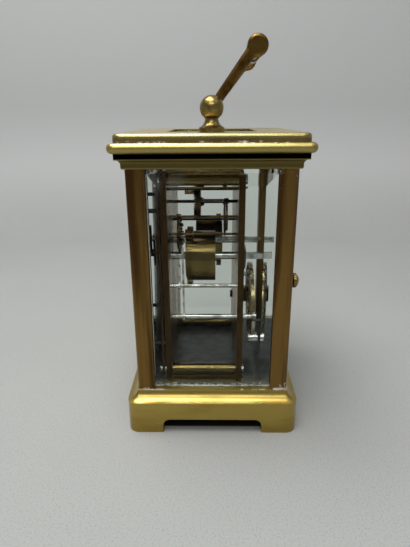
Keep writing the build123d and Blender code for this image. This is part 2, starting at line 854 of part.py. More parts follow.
tenon_end_x = arm_outer_x - arm_skin
with BuildPart() as handle_grip:
    with BuildSketch(Plane(origin=(0, grip_y, grip_z), x_dir=(1, 0, 0), z_dir=(0, -1, 0))) as grip:
        with BuildLine():
            ring = ring_half_share * arm_inner_x
            ring_x = [share * arm_inner_x for share in ring_place_shares]
            Polyline(
                (tenon_end_x, 0),
                (tenon_end_x, grip_tenon_radius),
                (arm_inner_x, grip_tenon_radius),
                (arm_inner_x, grip_end_radius),
                (ring_x[2] + ring, grip_end_radius),
                (ring_x[2], grip_ring_radius),
                (ring_x[2] - ring, grip_end_radius),
                (ring_x[1] + ring, grip_waist_radius),
                (ring_x[1], grip_ring_radius),
                (ring_x[1] - ring, grip_waist_radius),
            )
            ThreePointArc(
                (ring_x[1] - ring, grip_waist_radius),
                ((ring_x[1] + ring_x[0]) / 2, (grip_waist_radius + grip_belly_radius) / 2),
                (ring_x[0] + ring, grip_end_radius),
            )
            Polyline(
                (ring_x[0] + ring, grip_end_radius),
                (ring_x[0], grip_belly_radius),
                (0, grip_belly_radius),
                (0, 0),
                (tenon_end_x, 0),
            )
        make_face()
    revolve(axis=Axis((0, grip_y, grip_z), (1, 0, 0)))
    mirror(about=Plane.YZ)
keep(handle_grip, "handle_grip")

with BuildPart() as handle_screws:
    with BuildSketch(Plane.YZ.offset(arm_inner_x - seat_gap)) as pivot_head:
        with Locations((0, ball_z)):
            Circle(pivot_head_radius)
    extrude(amount=-pivot_head_height)
    with BuildSketch(Plane.YZ.offset(arm_inner_x - seat_gap)) as pivot_shank:
        with Locations((0, ball_z)):
            Circle(pivot_screw_radius)
    extrude(amount=seat_gap + arm_thickness + handle_gap + pivot_screw_grip)
    mirror(about=Plane.YZ)
keep(handle_screws, "handle_screws")

# Screws driven up from the hollow of the base
floor_z = base_height - base_floor
with BuildPart() as case_screws:
    with BuildSketch(Plane.XY.offset(floor_z)) as case_heads:
        with GridLocations(2 * pillar_x, 2 * pillar_y, 2, 2):
            Circle(case_screw_head_radius)
    extrude(amount=-case_screw_head_height)
    with BuildSketch(Plane.XY.offset(floor_z)) as case_shanks:
        with GridLocations(2 * pillar_x, 2 * pillar_y, 2, 2):
            Circle(case_screw_radius)
    extrude(amount=base_floor + case_screw_grip)
keep(case_screws, "case_screws")

with BuildPart() as movement_screws:
    with BuildSketch(Plane.XY.offset(floor_z)) as movement_heads:
        with GridLocations(2 * frame_pillar_x, 0, 2, 1):
            Circle(movement_screw_head_radius)
    extrude(amount=-movement_screw_head_height)
    with BuildSketch(Plane.XY.offset(floor_z)) as movement_shanks:
        with GridLocations(2 * frame_pillar_x, 0, 2, 1):
            Circle(movement_screw_radius)
    extrude(amount=base_floor + seat_gap + movement_screw_grip)
keep(movement_screws, "movement_screws")

# Movement plates, held apart by four pillars
frame_corners = [
    (side * frame_pillar_x, height)
    for side in (-1, 1)
    for height in (frame_foot_z, frame_top_z)
]
dial_foot_x = dial_width / 2 - dial_foot_inset
dial_foot_places = [
    (side * dial_foot_x, height)
    for side in (-1, 1)
    for height in (dial_bottom + 2 * dial_foot_inset, dial_bottom + dial_height - 2 * dial_foot_inset)
]
pivot_places = [third, contrate, pin_arbor, warning, fly_place, release_place]
barrel_places = [going_barrel, strike_barrel]
click_places = [
    polar(going_barrel, click_reach + ratchet_radius / 2, 180 - click_angle),
    polar(strike_barrel, click_reach + ratchet_radius / 2, click_angle),
]
plate_middle = (0, (plate_bottom + plate_top) / 2)
screw_tap_x = platform_width / 2 - platform_screw_inset


def plate_blank(y_high):
    """A plate with the bearings that both plates share, its rear face at y_high."""
    with BuildPart() as blank:
        with BuildSketch(across(y_high)):
            with Locations(plate_middle):
                Rectangle(plate_width, plate_height)
            with Locations(*pivot_places):
                Circle(pivot_radius + run_gap, mode=Mode.SUBTRACT)
            with Locations(*barrel_places):
                Circle(barrel_arbor_radius + run_gap, mode=Mode.SUBTRACT)
            with Locations(hammer_place):
                Circle(hammer_radius + run_gap, mode=Mode.SUBTRACT)
            with Locations(centre):
                Circle(set_arbor_radius + run_gap, mode=Mode.SUBTRACT)
            with Locations(*frame_corners):
                Circle(plate_screw_radius + seat_gap, mode=Mode.SUBTRACT)
        extrude(amount=plate_thickness)
        with BuildSketch(Plane.XY.offset(plate_top)):
            with Locations(*[(side * screw_tap_x, y_high - plate_thickness / 2) for side in (-1, 1)]):
                Circle(platform_screw_radius)
        extrude(amount=-platform_screw_grip, mode=Mode.SUBTRACT)
    return blank.part


front_blank = plate_blank(front_plate_y)
back_blank = plate_blank(rear_face_y)
with BuildPart() as front_plate:
    add(front_blank)
    with BuildSketch(across(front_plate_y)) as dial_foot_holes:
        with Locations(*dial_foot_places):
            Circle(dial_foot_radius + seat_gap)
        with Locations(minute_place):
            Circle(minute_stud_radius)
    extrude(amount=plate_thickness, mode=Mode.SUBTRACT)
keep(front_plate, "front_plate")

gong_foot = (-gong_outer_radius, gong_z - gong_block_height / 2)
with BuildPart() as back_plate:
    add(back_blank)
    with BuildSketch(across(rear_face_y)) as back_holes:
        with Locations(*click_places):
            Circle(click_pivot_radius)
        with Locations(gong_foot):
            Circle(gong_screw_radius)
    extrude(amount=plate_thickness, mode=Mode.SUBTRACT)
keep(back_plate, "back_plate")

plate_span = back_plate_y - front_plate_y
with BuildPart() as movement_pillars:
    for corner in frame_corners:
        radius = frame_foot_radius if corner[1] == frame_foot_z else frame_pillar_radius
        with BuildSketch(across(back_plate_y)):
            with Locations(corner):
                Circle(radius)
        extrude(amount=plate_span)
    for end_y, toward in ((back_plate_y, 1), (front_plate_y, -1)):
        with BuildSketch(across(end_y)) as pillar_taps:
            with Locations(*frame_corners):
                Circle(plate_screw_radius)
        extrude(amount=toward * plate_screw_grip, mode=Mode.SUBTRACT)
    with BuildSketch(Plane.XY.offset(plate_bottom)) as foot_taps:
        with GridLocations(2 * frame_pillar_x, 0, 2, 1):
            Circle(movement_screw_radius)
    extrude(amount=movement_screw_grip, mode=Mode.SUBTRACT)
keep(movement_pillars, "movement_pillars")

with BuildPart() as plate_screws:
    for face_y, toward in ((rear_face_y, 1), (front_face_y, -1)):
        with BuildSketch(across(face_y)) as plate_heads:
            with Locations(*frame_corners):
                Circle(plate_screw_head_radius)
        extrude(amount=-toward * plate_screw_head_height)
        with BuildSketch(across(face_y)) as plate_shanks:
            with Locations(*frame_corners):
                Circle(plate_screw_radius)
        extrude(amount=toward * (plate_thickness + plate_screw_grip))
keep(plate_screws, "plate_screws")


def crossed_wheel(label, place, front_y, thickness, teeth, module, phase, bore):
    """A toothed wheel with four crossings, bored for its arbor."""
    pitch = mesh_radius(teeth, module)
    with BuildPart() as wheel:
        with BuildSketch(across(front_y + thickness)):
            with BuildLine():
                Polyline(*shifted(wheel_points(teeth, module, phase), place), close=True)
            make_face()
            with Locations(place):
                Circle(rim_share * pitch, mode=Mode.SUBTRACT)
                Circle(max(hub_share * pitch, bore + arm_share * pitch))
                Rectangle(2 * rim_share * pitch + module, arm_share * 2 * pitch)
                Rectangle(arm_share * 2 * pitch, 2 * rim_share * pitch + module)
                Circle(bore, mode=Mode.SUBTRACT)
        extrude(amount=thickness)
    keep(wheel, label)


def turned_arbor(place, spans, leaves, leaf_front, leaf_length, module, phase, pipe_bore):
    """An arbor of turned spans (front y, rear y, radius) with a cut pinion on it."""
    with BuildPart() as arbor:
        for start, stop, radius in spans:
            with BuildSketch(across(stop)):
                with Locations(place):
                    Circle(radius)
            extrude(amount=stop - start)
        with BuildSketch(across(leaf_front + leaf_length)):
            with BuildLine():
                Polyline(*shifted(leaf_points(leaves, module, phase), place), close=True)
            make_face()
        extrude(amount=leaf_length)
        if pipe_bore:
            with BuildSketch(across(spans[-1][1] + overrun)):
                with Locations(place):
                    Circle(pipe_bore)
            extrude(amount=spans[-1][1] - spans[0][0] + 2 * overrun, mode=Mode.SUBTRACT)
    return arbor


front_pivot = (front_plate_y - pivot_length, front_plate_y + run_gap, pivot_radius)
rear_pivot = (back_plate_y - run_gap, back_plate_y + pivot_length, pivot_radius)
plain_span = (front_plate_y + run_gap, back_plate_y - run_gap, arbor_radius)
hub_fit = arbor_radius + seat_gap / 2

# Barrels: a drum with the great wheel on it, closed by a cap
for barrel_label, barrel_place, great_y, drum_start in (
    ("going_barrel", going_barrel, going_great_y, going_great_y - drum_length),
    ("strike_barrel", strike_barrel, strike_great_y, strike_great_y + great_thickness),
):
    cap_y = great_y + great_thickness if great_y > drum_start else great_y - drum_cap_height
    with BuildPart() as barrel:
        with BuildSketch(across(great_y + great_thickness)) as great_wheel:
            with BuildLine():
                outline = wheel_points(great_teeth, great_module, great_phase)
                Polyline(*shifted(outline, barrel_place), close=True)
            make_face()
        extrude(amount=great_thickness)
        with BuildSketch(across(drum_start + drum_length)) as drum:
            with Locations(barrel_place):
                Circle(drum_radius)
        extrude(amount=drum_length)
        with BuildSketch(across(cap_y + drum_cap_height)) as drum_cap:
            with Locations(barrel_place):
                Circle(drum_cap_radius)
        extrude(amount=drum_cap_height)
        with BuildSketch(across(back_plate_y)) as barrel_bore:
            with Locations(barrel_place):
                Circle(barrel_arbor_radius + run_gap)
        extrude(amount=plate_span, mode=Mode.SUBTRACT)
    keep(barrel, barrel_label)

# Winding arbors with their squares, and the ratchet wheels they carry behind the back plate
ratchet_y = rear_face_y + click_gap
for arbor_label, ratchet_label, arbor_place in (
    ("going_winding_arbor", "going_ratchet", going_barrel),
    ("strike_winding_arbor", "strike_ratchet", strike_barrel),
):
    with BuildPart() as winding_arbor:
        with BuildSketch(across(ratchet_y + ratchet_thickness)) as winding_body:
            with Locations(arbor_place):
                Circle(barrel_arbor_radius)
        extrude(amount=ratchet_y + ratchet_thickness - front_face_y)
        with BuildSketch(across(rear_face_y + winding_reach)) as winding_end:
            with Locations(arbor_place):
                Rectangle(winding_square, winding_square)
        extrude(amount=winding_reach - click_gap - ratchet_thickness)
    keep(winding_arbor, arbor_label)
    with BuildPart() as ratchet:
        with BuildSketch(across(ratchet_y + ratchet_thickness)) as ratchet_plan:
            with BuildLine():
                saw = []
                for tooth in range(ratchet_teeth):
                    start = tooth * 360 / ratchet_teeth
                    saw.append(polar(arbor_place, ratchet_radius, start))
                    saw.append(polar(arbor_place, ratchet_radius - ratchet_tooth, start))
                Polyline(*saw, close=True)
            make_face()
            with Locations(arbor_place):
                Circle(barrel_arbor_radius + seat_gap / 2, mode=Mode.SUBTRACT)
        extrude(amount=ratchet_thickness)
    keep(ratchet, ratchet_label)

for click_label, click_place, click_barrel in (
    ("going_click", click_places[0], going_barrel),
    ("strike_click", click_places[1], strike_barrel),
):
    back = math.degrees(
        math.atan2(click_barrel[1] - click_place[1], click_barrel[0] - click_place[0])
    )
    reach = math.dist(click_place, click_barrel) - ratchet_radius - click_gap
    tip = polar(click_place, reach, back)
    with BuildPart() as click:
        with BuildSketch(across(ratchet_y + ratchet_thickness)) as click_plan:
            with Locations(click_place):
                Circle(click_eye_radius)
            with BuildLine():
                Polyline(
                    polar(click_place, click_width / 2, back + 90),
                    tip,
                    polar(click_place, click_width / 2, back - 90),
                    close=True,
                )
            make_face()
        extrude(amount=ratchet_thickness)
        with BuildSketch(across(ratchet_y)) as click_stud:
            with Locations(click_place):
                Circle(click_pivot_radius - run_gap)
        extrude(amount=click_gap + plate_thickness - seat_gap)
    keep(click, click_label)

# Going train
set_pipe_bore = set_arbor_radius + run_gap
centre_pipe_radius = set_pipe_bore + centre_pipe_wall
centre_arbor = turned_arbor(
    centre,
    [
        (
            centre_wheel_y - leaf_overlap,
            going_great_y + great_thickness + leaf_overlap,
            centre_pipe_radius,
        )
    ],
    centre_leaves,
    going_great_y - leaf_overlap,
    great_thickness + 2 * leaf_overlap,
    great_module,
    centre_leaf_phase,
    set_pipe_bore,
)
keep(centre_arbor, "centre_arbor")
crossed_wheel(
    "centre_wheel",
    centre,
    centre_wheel_y,
    wheel_thickness,
    centre_teeth,
    centre_module,
    centre_phase,
    centre_pipe_radius + seat_gap / 2,
)

third_arbor = turned_arbor(
    third,
    [front_pivot, plain_span, rear_pivot],
    third_leaves,
    centre_wheel_y - leaf_overlap,
    wheel_thickness + 2 * leaf_overlap,
    centre_module,
    third_leaf_phase,
    0,
)
keep(third_arbor, "third_arbor")
crossed_wheel(
    "third_wheel",
    third,
    third_wheel_y,
    wheel_thickness,
    third_teeth,
    third_module,
    third_phase,
    hub_fit,
)

contrate_arbor = turned_arbor(
    contrate,
    [front_pivot, plain_span, rear_pivot],
    contrate_leaves,
    third_wheel_y - leaf_overlap,
    wheel_thickness + 2 * leaf_overlap,
    third_module,
    contrate_leaf_phase,
    0,
)
keep(contrate_arbor, "contrate_arbor")

contrate_inner = contrate_mean_radius - contrate_face / 2
contrate_outer = contrate_mean_radius + contrate_face / 2
contrate_root_y = contrate_tip_y + contrate_tooth_height
contrate_web_y = contrate_root_y + contrate_rim
contrate_rear_y = contrate_web_y + contrate_web
contrate_pitch = 2 * math.pi * contrate_mean_radius / contrate_teeth
with BuildPart() as contrate_wheel:
    with BuildSketch(across(contrate_web_y)) as crown_rim:
        with Locations(contrate):
            Circle(contrate_outer)
            Circle(contrate_inner, mode=Mode.SUBTRACT)
    extrude(amount=contrate_rim)
    with BuildSketch(across(contrate_root_y)) as crown_teeth:
        with Locations(contrate):
            with PolarLocations(contrate_mean_radius, contrate_teeth, contrate_phase):
                Rectangle(contrate_face, contrate_tooth_share * contrate_pitch)
    extrude(amount=contrate_tooth_height)
    with BuildSketch(across(contrate_rear_y)) as crown_web:
        with Locations(contrate):
            Circle(contrate_outer)
            Circle(contrate_inner - contrate_face / 2, mode=Mode.SUBTRACT)
            Circle(contrate_hub_radius)
            Rectangle(2 * contrate_inner, contrate_hub_radius)
            Rectangle(contrate_hub_radius, 2 * contrate_inner)
    extrude(amount=contrate_web)
    with BuildSketch(across(contrate_rear_y)) as hub_foot:
        with Locations(contrate):
            Circle(contrate_hub_radius)
    with BuildSketch(across(contrate_rear_y + contrate_hub_length)) as hub_nose:
        with Locations(contrate):
            Circle((contrate_hub_radius + arbor_radius) / 2)
    loft()
    with BuildSketch(across(contrate_rear_y + contrate_hub_length)) as contrate_bore:
        with Locations(contrate):
            Circle(hub_fit)
    extrude(amount=contrate_hub_length + contrate_web + overrun, mode=Mode.SUBTRACT)
keep(contrate_wheel, "contrate_wheel")

# Platform escapement: plate, escape arbor, lever and balance, lying level over the movement
platform_top = plate_top + platform_thickness
platform_depth = rear_face_y - front_face_y
platform_y = (rear_face_y + front_face_y) / 2
platform_screw_x = platform_width / 2 - platform_screw_inset
platform_screw_places = [
    (side * platform_screw_x, y)
    for side in (-1, 1)
    for y in (front_face_y + plate_thickness / 2, rear_face_y - plate_thickness / 2)
]
escape_pitch_radius = contrate_mean_radius * escape_leaves / contrate_teeth
escape_y = contrate_tip_y + escape_depth - escape_pitch_radius
escape_place = (0, escape_y)
lever_place = (0, escape_y + lever_distance)
balance_place = (0, lever_place[1] + balance_distance)
crown_low = contrate[1] + contrate_inner - leaf_overlap
crown_high = contrate[1] + contrate_outer + leaf_overlap
potence_z = crown_low - potence_foot - pivot_length / 2
potence_y = escape_y - 2 * potence_thickness
with BuildPart() as platform:
    with BuildSketch(Plane.XY.offset(plate_top)) as platform_plan:
        with Locations((0, platform_y)):
            Rectangle(platform_width, platform_depth)
        with Locations(*platform_screw_places):
            Circle(platform_screw_radius + seat_gap, mode=Mode.SUBTRACT)
        with Locations(escape_place):
            Circle(escape_pitch_radius + escape_leaf_tip + run_gap, mode=Mode.SUBTRACT)
        with Locations(lever_place, balance_place):
            Circle(pivot_radius, mode=Mode.SUBTRACT)
    extrude(amount=platform_thickness)
    with BuildSketch(Plane.XY.offset(potence_z)) as potence_post:
        with Locations((0, potence_y)):
            Rectangle(potence_width, potence_thickness)
    extrude(amount=plate_top - potence_z)
    with BuildSketch(Plane.XY.offset(potence_z)) as potence_arm:
        with Locations((0, (potence_y + escape_y) / 2)):
            Rectangle(potence_width, escape_y - potence_y + potence_thickness)
        with Locations(escape_place):
            Circle(pivot_radius, mode=Mode.SUBTRACT)
    extrude(amount=potence_foot)
keep(platform, "platform")

with BuildPart() as platform_screws:
    with BuildSketch(Plane.XY.offset(platform_top)) as platform_heads:
        with Locations(*platform_screw_places):
            Circle(platform_screw_head_radius)
    extrude(amount=platform_screw_head_height)
    with BuildSketch(Plane.XY.offset(platform_top)) as platform_shanks:
        with Locations(*platform_screw_places):
            Circle(platform_screw_radius)
    extrude(amount=-platform_thickness - platform_screw_grip)
keep(platform_screws, "platform_screws")

escape_wheel_z = platform_top + escape_lift
bridge_z = platform_top + bridge_lift
with BuildPart() as escape_arbor:
    with BuildSketch(Plane.XY.offset(potence_z)) as escape_pivot:
        with Locations(escape_place):
            Circle(pivot_radius - run_gap)
    extrude(amount=bridge_z + bridge_thickness - potence_z)
    with BuildSketch(Plane.XY.offset(potence_z + potence_foot + run_gap)) as escape_body:
        with Locations(escape_place):
            Circle(escape_pitch_radius - escape_leaf_root)
    extrude(amount=bridge_z - potence_z - potence_foot - 2 * run_gap)
    with BuildSketch(Plane.XY.offset(crown_low)) as escape_pinion:
        with BuildLine():
            leaves = []
            step = 360 / escape_leaves
            for leaf in range(escape_leaves):
                middle = escape_leaf_phase + leaf * step
                root = escape_pitch_radius - escape_leaf_root
                leaf_tip = escape_pitch_radius + escape_leaf_tip
                leaves.append(polar(escape_place, root, middle - leaf_root_share * step / 2))
                leaves.append(polar(escape_place, leaf_tip, middle - leaf_tip_share * step / 2))
                leaves.append(polar(escape_place, leaf_tip, middle + leaf_tip_share * step / 2))
                leaves.append(polar(escape_place, root, middle + leaf_root_share * step / 2))
            Polyline(*leaves, close=True)
        make_face()
    extrude(amount=crown_high - crown_low)
keep(escape_arbor, "escape_arbor")

with BuildPart() as escape_wheel:
    with BuildSketch(Plane.XY.offset(escape_wheel_z)) as escape_plan:
        with BuildLine():
            club = []
            step = 360 / escape_teeth
            for tooth in range(escape_teeth):
                root = escape_tip_radius - escape_tooth_depth
                club.append(polar(escape_place, root, tooth * step))
                club.append(polar(escape_place, escape_tip_radius, (tooth + escape_back_share) * step))
                club.append(polar(escape_place, escape_tip_radius, (tooth + escape_club_share) * step))
                club.append(polar(escape_place, root, (tooth + escape_back_share) * step))
            Polyline(*club, close=True)
        make_face()
        with Locations(escape_place):
            Circle(escape_pitch_radius - escape_leaf_root + seat_gap / 2, mode=Mode.SUBTRACT)
    extrude(amount=escape_wheel_thickness)
keep(escape_wheel, "escape_wheel")

pallet_y = escape_y + math.sqrt((escape_tip_radius + lever_swing_gap) ** 2 - pallet_reach**2)
with BuildPart() as lever:
    with BuildSketch(Plane.XY.offset(escape_wheel_z)) as lever_plan:
        with Locations(lever_place):
            Rectangle(2 * pallet_reach + lever_width, lever_width)
        with Locations((0, lever_place[1] + lever_tail / 2)):
            Rectangle(lever_width, lever_tail)
        for side in (-1, 1):
            pallet_length = lever_place[1] - pallet_y - lever_width
            with Locations((side * pallet_reach, lever_place[1] - pallet_length / 2)):
                Rectangle(lever_width, pallet_length)
            with Locations((side * lever_width, lever_place[1] + lever_tail)):
                Rectangle(lever_width, lever_width)
    extrude(amount=escape_wheel_thickness)
    with BuildSketch(Plane.XY.offset(plate_top + seat_gap)) as lever_arbor:
        with Locations(lever_place):
            Circle(pivot_radius - run_gap)
    extrude(amount=bridge_z + bridge_thickness - plate_top - 2 * seat_gap)
keep(lever, "lever")

bridge_end = escape_y - escape_tip_radius - bridge_foot
with BuildPart() as escape_bridge:
    with BuildSketch(Plane.XY.offset(bridge_z)) as bridge_plan:
        with Locations((0, (bridge_end + lever_place[1]) / 2)):
            Rectangle(bridge_width, lever_place[1] - bridge_end + bridge_width)
        with Locations(escape_place, lever_place):
            Circle(pivot_radius, mode=Mode.SUBTRACT)
    extrude(amount=bridge_thickness)
    with BuildSketch(Plane.XY.offset(platform_top)) as bridge_foot_plan:
        with Locations((0, bridge_end)):
            Rectangle(bridge_width, bridge_width)
    extrude(amount=bridge_lift)
keep(escape_bridge, "escape_bridge")

balance_z = platform_top + balance_lift
cock_z = platform_top + cock_lift
with BuildPart() as balance_wheel:
    with BuildSketch(Plane.XY.offset(balance_z)) as balance_plan:
        with Locations(balance_place):
            Circle(balance_radius)
            Circle(balance_radius - balance_rim, mode=Mode.SUBTRACT)
            Rectangle(2 * balance_radius - balance_rim, balance_arm)
    extrude(amount=balance_height)
    with BuildSketch(Plane.XY.offset(platform_top + run_gap)) as staff:
        with Locations(balance_place):
            Circle(staff_radius)
    extrude(amount=cock_lift - 2 * run_gap)
    with BuildSketch(Plane.XY.offset(plate_top + seat_gap)) as staff_pivot:
        with Locations(balance_place):
            Circle(pivot_radius - run_gap)
    extrude(amount=cock_z + cock_thickness - plate_top - 2 * seat_gap)
    with BuildSketch(Plane.XY.offset(escape_wheel_z)) as roller:
        with Locations(balance_place):
            Circle(roller_radius)
    extrude(amount=roller_height)
keep(balance_wheel, "balance_wheel")

cock_end = rear_face_y - cock_foot / 2
with BuildPart() as balance_cock:
    with BuildSketch(Plane.XY.offset(cock_z)) as cock_plan:
        with Locations(balance_place):
            Circle(cock_width / 2)
        with Locations((0, (balance_place[1] + cock_end) / 2)):
            Rectangle(cock_width, cock_end - balance_place[1] + cock_foot)
        with Locations(balance_place):
            Circle(pivot_radius, mode=Mode.SUBTRACT)
    extrude(amount=cock_thickness)
    with BuildSketch(Plane.XY.offset(platform_top)) as cock_foot_plan:
        with Locations((0, cock_end)):
            Rectangle(cock_width, cock_foot)
    extrude(amount=cock_lift)
    fillet(balance_cock.edges().filter_by(Axis.Z).sort_by(Axis.Y)[-2:], seat_gap)
keep(balance_cock, "balance_cock")

with BuildPart() as regulator:
    with BuildSketch(Plane.XY.offset(cock_z + cock_thickness + seat_gap)) as regulator_plan:
        with Locations(balance_place):
            Circle(regulator_radius)
            with Locations((-regulator_reach / 2, 0)):
                Rectangle(regulator_reach, regulator_width)
            Circle(pivot_radius, mode=Mode.SUBTRACT)
    extrude(amount=regulator_thickness)
keep(regulator, "regulator")


def spiral_line(place, inner_radius, pitch, half_turns):
    """Half circles about two centres in turn, each wider than the last: (centre x, y, radius, side)."""
    arcs = []
    for half in range(half_turns):
        radius = inner_radius + half * pitch / 2
        shift = 0 if half % 2 == 0 else pitch / 2
        arcs.append((place[0] + shift, place[1], radius, 1 if half % 2 == 0 else -1))
    return arcs


def least_self_gap(arcs, wire, samples):
    """The narrowest gap between turns, measured on points along the middle of the wire."""
    points = []
    for x, y, radius, side in arcs:
        start = 0 if side > 0 else 180
        for sample in range(samples):
            points.append(polar((x, y), radius, start + 180 * sample / samples))
    apart = [
        math.dist(first, second)
        for index, first in enumerate(points)
        for second in points[index + samples :]
    ]
    return min(apart) - wire


def spiral_strip(plane, arcs, wire, height):
    """A flat strip wound along the half circles, as one unbroken piece."""
    with BuildPart() as strip:
        with BuildLine(plane) as strip_path:
            for x, y, radius, side in arcs:
                CenterArc((x, y), radius, 0 if side > 0 else 180, 180)
        first = arcs[0]
        section_plane = Plane(
            origin=plane.from_local_coords(Vector(first[0] + first[2], first[1], 0)),
            x_dir=plane.x_dir,
            z_dir=plane.y_dir,
        )
        with BuildSketch(section_plane) as strip_section:
            Rectangle(wire, height)
        sweep(path=strip_path.line.wires()[0])
    return strip


hairspring_arcs = spiral_line(balance_place, spring_inner_radius, spring_pitch, spring_half_turns)
hairspring = spiral_strip(
    Plane.XY.offset(platform_top + spring_lift), hairspring_arcs, spring_wire, spring_height
)
keep(hairspring, "hairspring")
print("hairspring least gap", round(least_self_gap(hairspring_arcs, spring_wire, gap_samples), 3))

# Motion work: cannon pinion on the set arbor, minute wheel on its stud, hour wheel and its pipe
cannon_radius = set_arbor_radius + cannon_wall
hour_bore = cannon_radius + run_gap
hour_pipe_radius = hour_bore + hour_pipe_wall
hour_hand_y = dial_front_y - hand_gap - hand_thickness
minute_hand_y = hour_hand_y - hand_gap - hand_thickness
with BuildPart() as set_arbor:
    with BuildSketch(across(rear_face_y + click_gap)) as set_rod:
        with Locations(centre):
            Circle(set_arbor_radius)
    extrude(amount=rear_face_y + click_gap - cannon_y)
    with BuildSketch(across(rear_face_y + winding_reach)) as set_end:
        with Locations(centre):
            Rectangle(set_square, set_square)
    extrude(amount=winding_reach)
    with BuildSketch(across(front_face_y - run_gap)) as cannon_pipe:
        with Locations(centre):
            Circle(cannon_radius)
    extrude(amount=front_face_y - run_gap - minute_hand_y)
    with BuildSketch(across(cannon_y + motion_wheel_thickness)) as cannon_pinion:
        with BuildLine():
            outline = leaf_points(cannon_teeth, motion_module, cannon_phase)
            Polyline(*shifted(outline, centre), close=True)
        make_face()
    extrude(amount=motion_wheel_thickness)
keep(set_arbor, "set_arbor")

with BuildPart() as minute_wheel:
    with BuildSketch(across(cannon_y + motion_wheel_thickness)) as minute_plan:
        with BuildLine():
            outline = wheel_points(minute_teeth, motion_module, minute_phase)
            Polyline(*shifted(outline, minute_place), close=True)
        make_face()
    extrude(amount=motion_wheel_thickness)
    with BuildSketch(across(cannon_y)) as minute_pinion:
        with BuildLine():
            outline = leaf_points(minute_leaves, minute_leaf_module, minute_leaf_phase)
            Polyline(*shifted(outline, minute_place), close=True)
        make_face()
    extrude(amount=cannon_y - hour_wheel_y)
    with BuildSketch(across(cannon_y + motion_wheel_thickness)) as minute_bore:
        with Locations(minute_place):
            Circle(minute_stud_radius + run_gap)
    extrude(amount=cannon_y + motion_wheel_thickness - hour_wheel_y, mode=Mode.SUBTRACT)
keep(minute_wheel, "minute_wheel")

with BuildPart() as minute_stud:
    with BuildSketch(across(front_plate_y)) as stud_plan:
        with Locations(minute_place):
            Circle(minute_stud_radius)
    extrude(amount=front_plate_y - hour_wheel_y)
keep(minute_stud, "minute_stud")

with BuildPart() as hour_wheel:
    with BuildSketch(across(hour_wheel_y + motion_wheel_thickness)) as hour_plan:
        with BuildLine():
            outline = wheel_points(hour_teeth, minute_leaf_module, hour_phase)
            Polyline(*shifted(outline, centre), close=True)
        make_face()
    extrude(amount=motion_wheel_thickness)
    with BuildSketch(across(hour_wheel_y + motion_wheel_thickness)) as hour_pipe:
        with Locations(centre):
            Circle(hour_pipe_radius)
    extrude(amount=hour_wheel_y + motion_wheel_thickness - hour_hand_y)
    with BuildSketch(across(hour_wheel_y + motion_wheel_thickness)) as hour_pipe_bore:
        with Locations(centre):
            Circle(hour_bore)
    extrude(amount=hour_wheel_y + motion_wheel_thickness - hour_hand_y, mode=Mode.SUBTRACT)
keep(hour_wheel, "hour_wheel")

dial_rear_y = dial_front_y + dial_thickness
with BuildPart() as dial:
    with BuildSketch(across(dial_rear_y)) as dial_plan:
        with Locations((0, dial_bottom + dial_height / 2)):
            Rectangle(dial_width, dial_height)
        with Locations(centre):
            Circle(hour_pipe_radius + run_gap, mode=Mode.SUBTRACT)
    extrude(amount=dial_thickness)
    with BuildSketch(across(front_plate_y - seat_gap)) as dial_feet:
        with Locations(*dial_foot_places):
            Circle(dial_foot_radius)
    extrude(amount=front_plate_y - seat_gap - dial_rear_y)
keep(dial, "dial")


def spade_hand(label, front_y, length, width, bore, angle):
    """A flat hand with an eye, a narrow blade, a round spade and a pointed tip."""
    tip_angle = 90 - angle
    spade = polar(centre, length * spade_share, tip_angle)
    with BuildPart() as hand_piece:
        with BuildSketch(across(front_y + hand_thickness)):
            with Locations(centre):
                Circle(hand_eye_radius)
            with Locations(spade):
                Circle(width)
            with BuildLine():
                Polyline(
                    polar(centre, width / 2, tip_angle + 90),
                    polar(centre, length, tip_angle),
                    polar(centre, width / 2, tip_angle - 90),
                    close=True,
                )
            make_face()
            with Locations(centre):
                Circle(bore, mode=Mode.SUBTRACT)
        extrude(amount=hand_thickness)
    keep(hand_piece, label)


spade_hand(
    "hour_hand",
    hour_hand_y,
    hour_hand_length,
    hand_width,
    hour_pipe_radius + seat_gap / 2,
    hour_hand_angle,
)
spade_hand(
    "minute_hand",
    minute_hand_y,
    minute_hand_length,
    hand_width,
    cannon_radius + seat_gap / 2,
    minute_hand_angle,
)

# Strike train: pin wheel, warning wheel and fly
pin_wheel_arbor = turned_arbor(
    pin_arbor,
    [front_pivot, plain_span, rear_pivot],
    pin_leaves,
    strike_great_y - leaf_overlap,
    great_thickness + 2 * leaf_overlap,
    great_module,
    pin_leaf_phase,
    0,
)
pin_disc_y = pin_wheel_y + wheel_thickness
lifting_circle = lifting_circle_share * mesh_radius(pin_teeth, strike_module)
with BuildPart() as pin_wheel:
    add(pin_wheel_arbor.part)
    with BuildSketch(across(pin_disc_y)) as pin_disc:
        with BuildLine():
            outline = wheel_points(pin_teeth, strike_module, pin_phase)
            Polyline(*shifted(outline, pin_arbor), close=True)
        make_face()
    extrude(amount=wheel_thickness)
    with BuildSketch(across(pin_disc_y + lifting_pin_length)) as pins:
        with Locations(pin_arbor):
            with PolarLocations(lifting_circle, lifting_pins):
                Circle(lifting_pin_radius)
    extrude(amount=lifting_pin_length)
keep(pin_wheel, "pin_wheel")

warning_wheel_arbor = turned_arbor(
    warning,
    [front_pivot, plain_span, rear_pivot],
    warning_leaves,
    pin_wheel_y - leaf_overlap,
    wheel_thickness + 2 * leaf_overlap,
    strike_module,
    warning_leaf_phase,
    0,
)
with BuildPart() as warning_wheel:
    add(warning_wheel_arbor.part)
    with BuildSketch(across(warning_wheel_y + wheel_thickness)) as warning_disc:
        with BuildLine():
            outline = wheel_points(warning_teeth, strike_module, warning_phase)
            Polyline(*shifted(outline, warning), close=True)
        make_face()
    extrude(amount=wheel_thickness)
keep(warning_wheel, "warning_wheel")

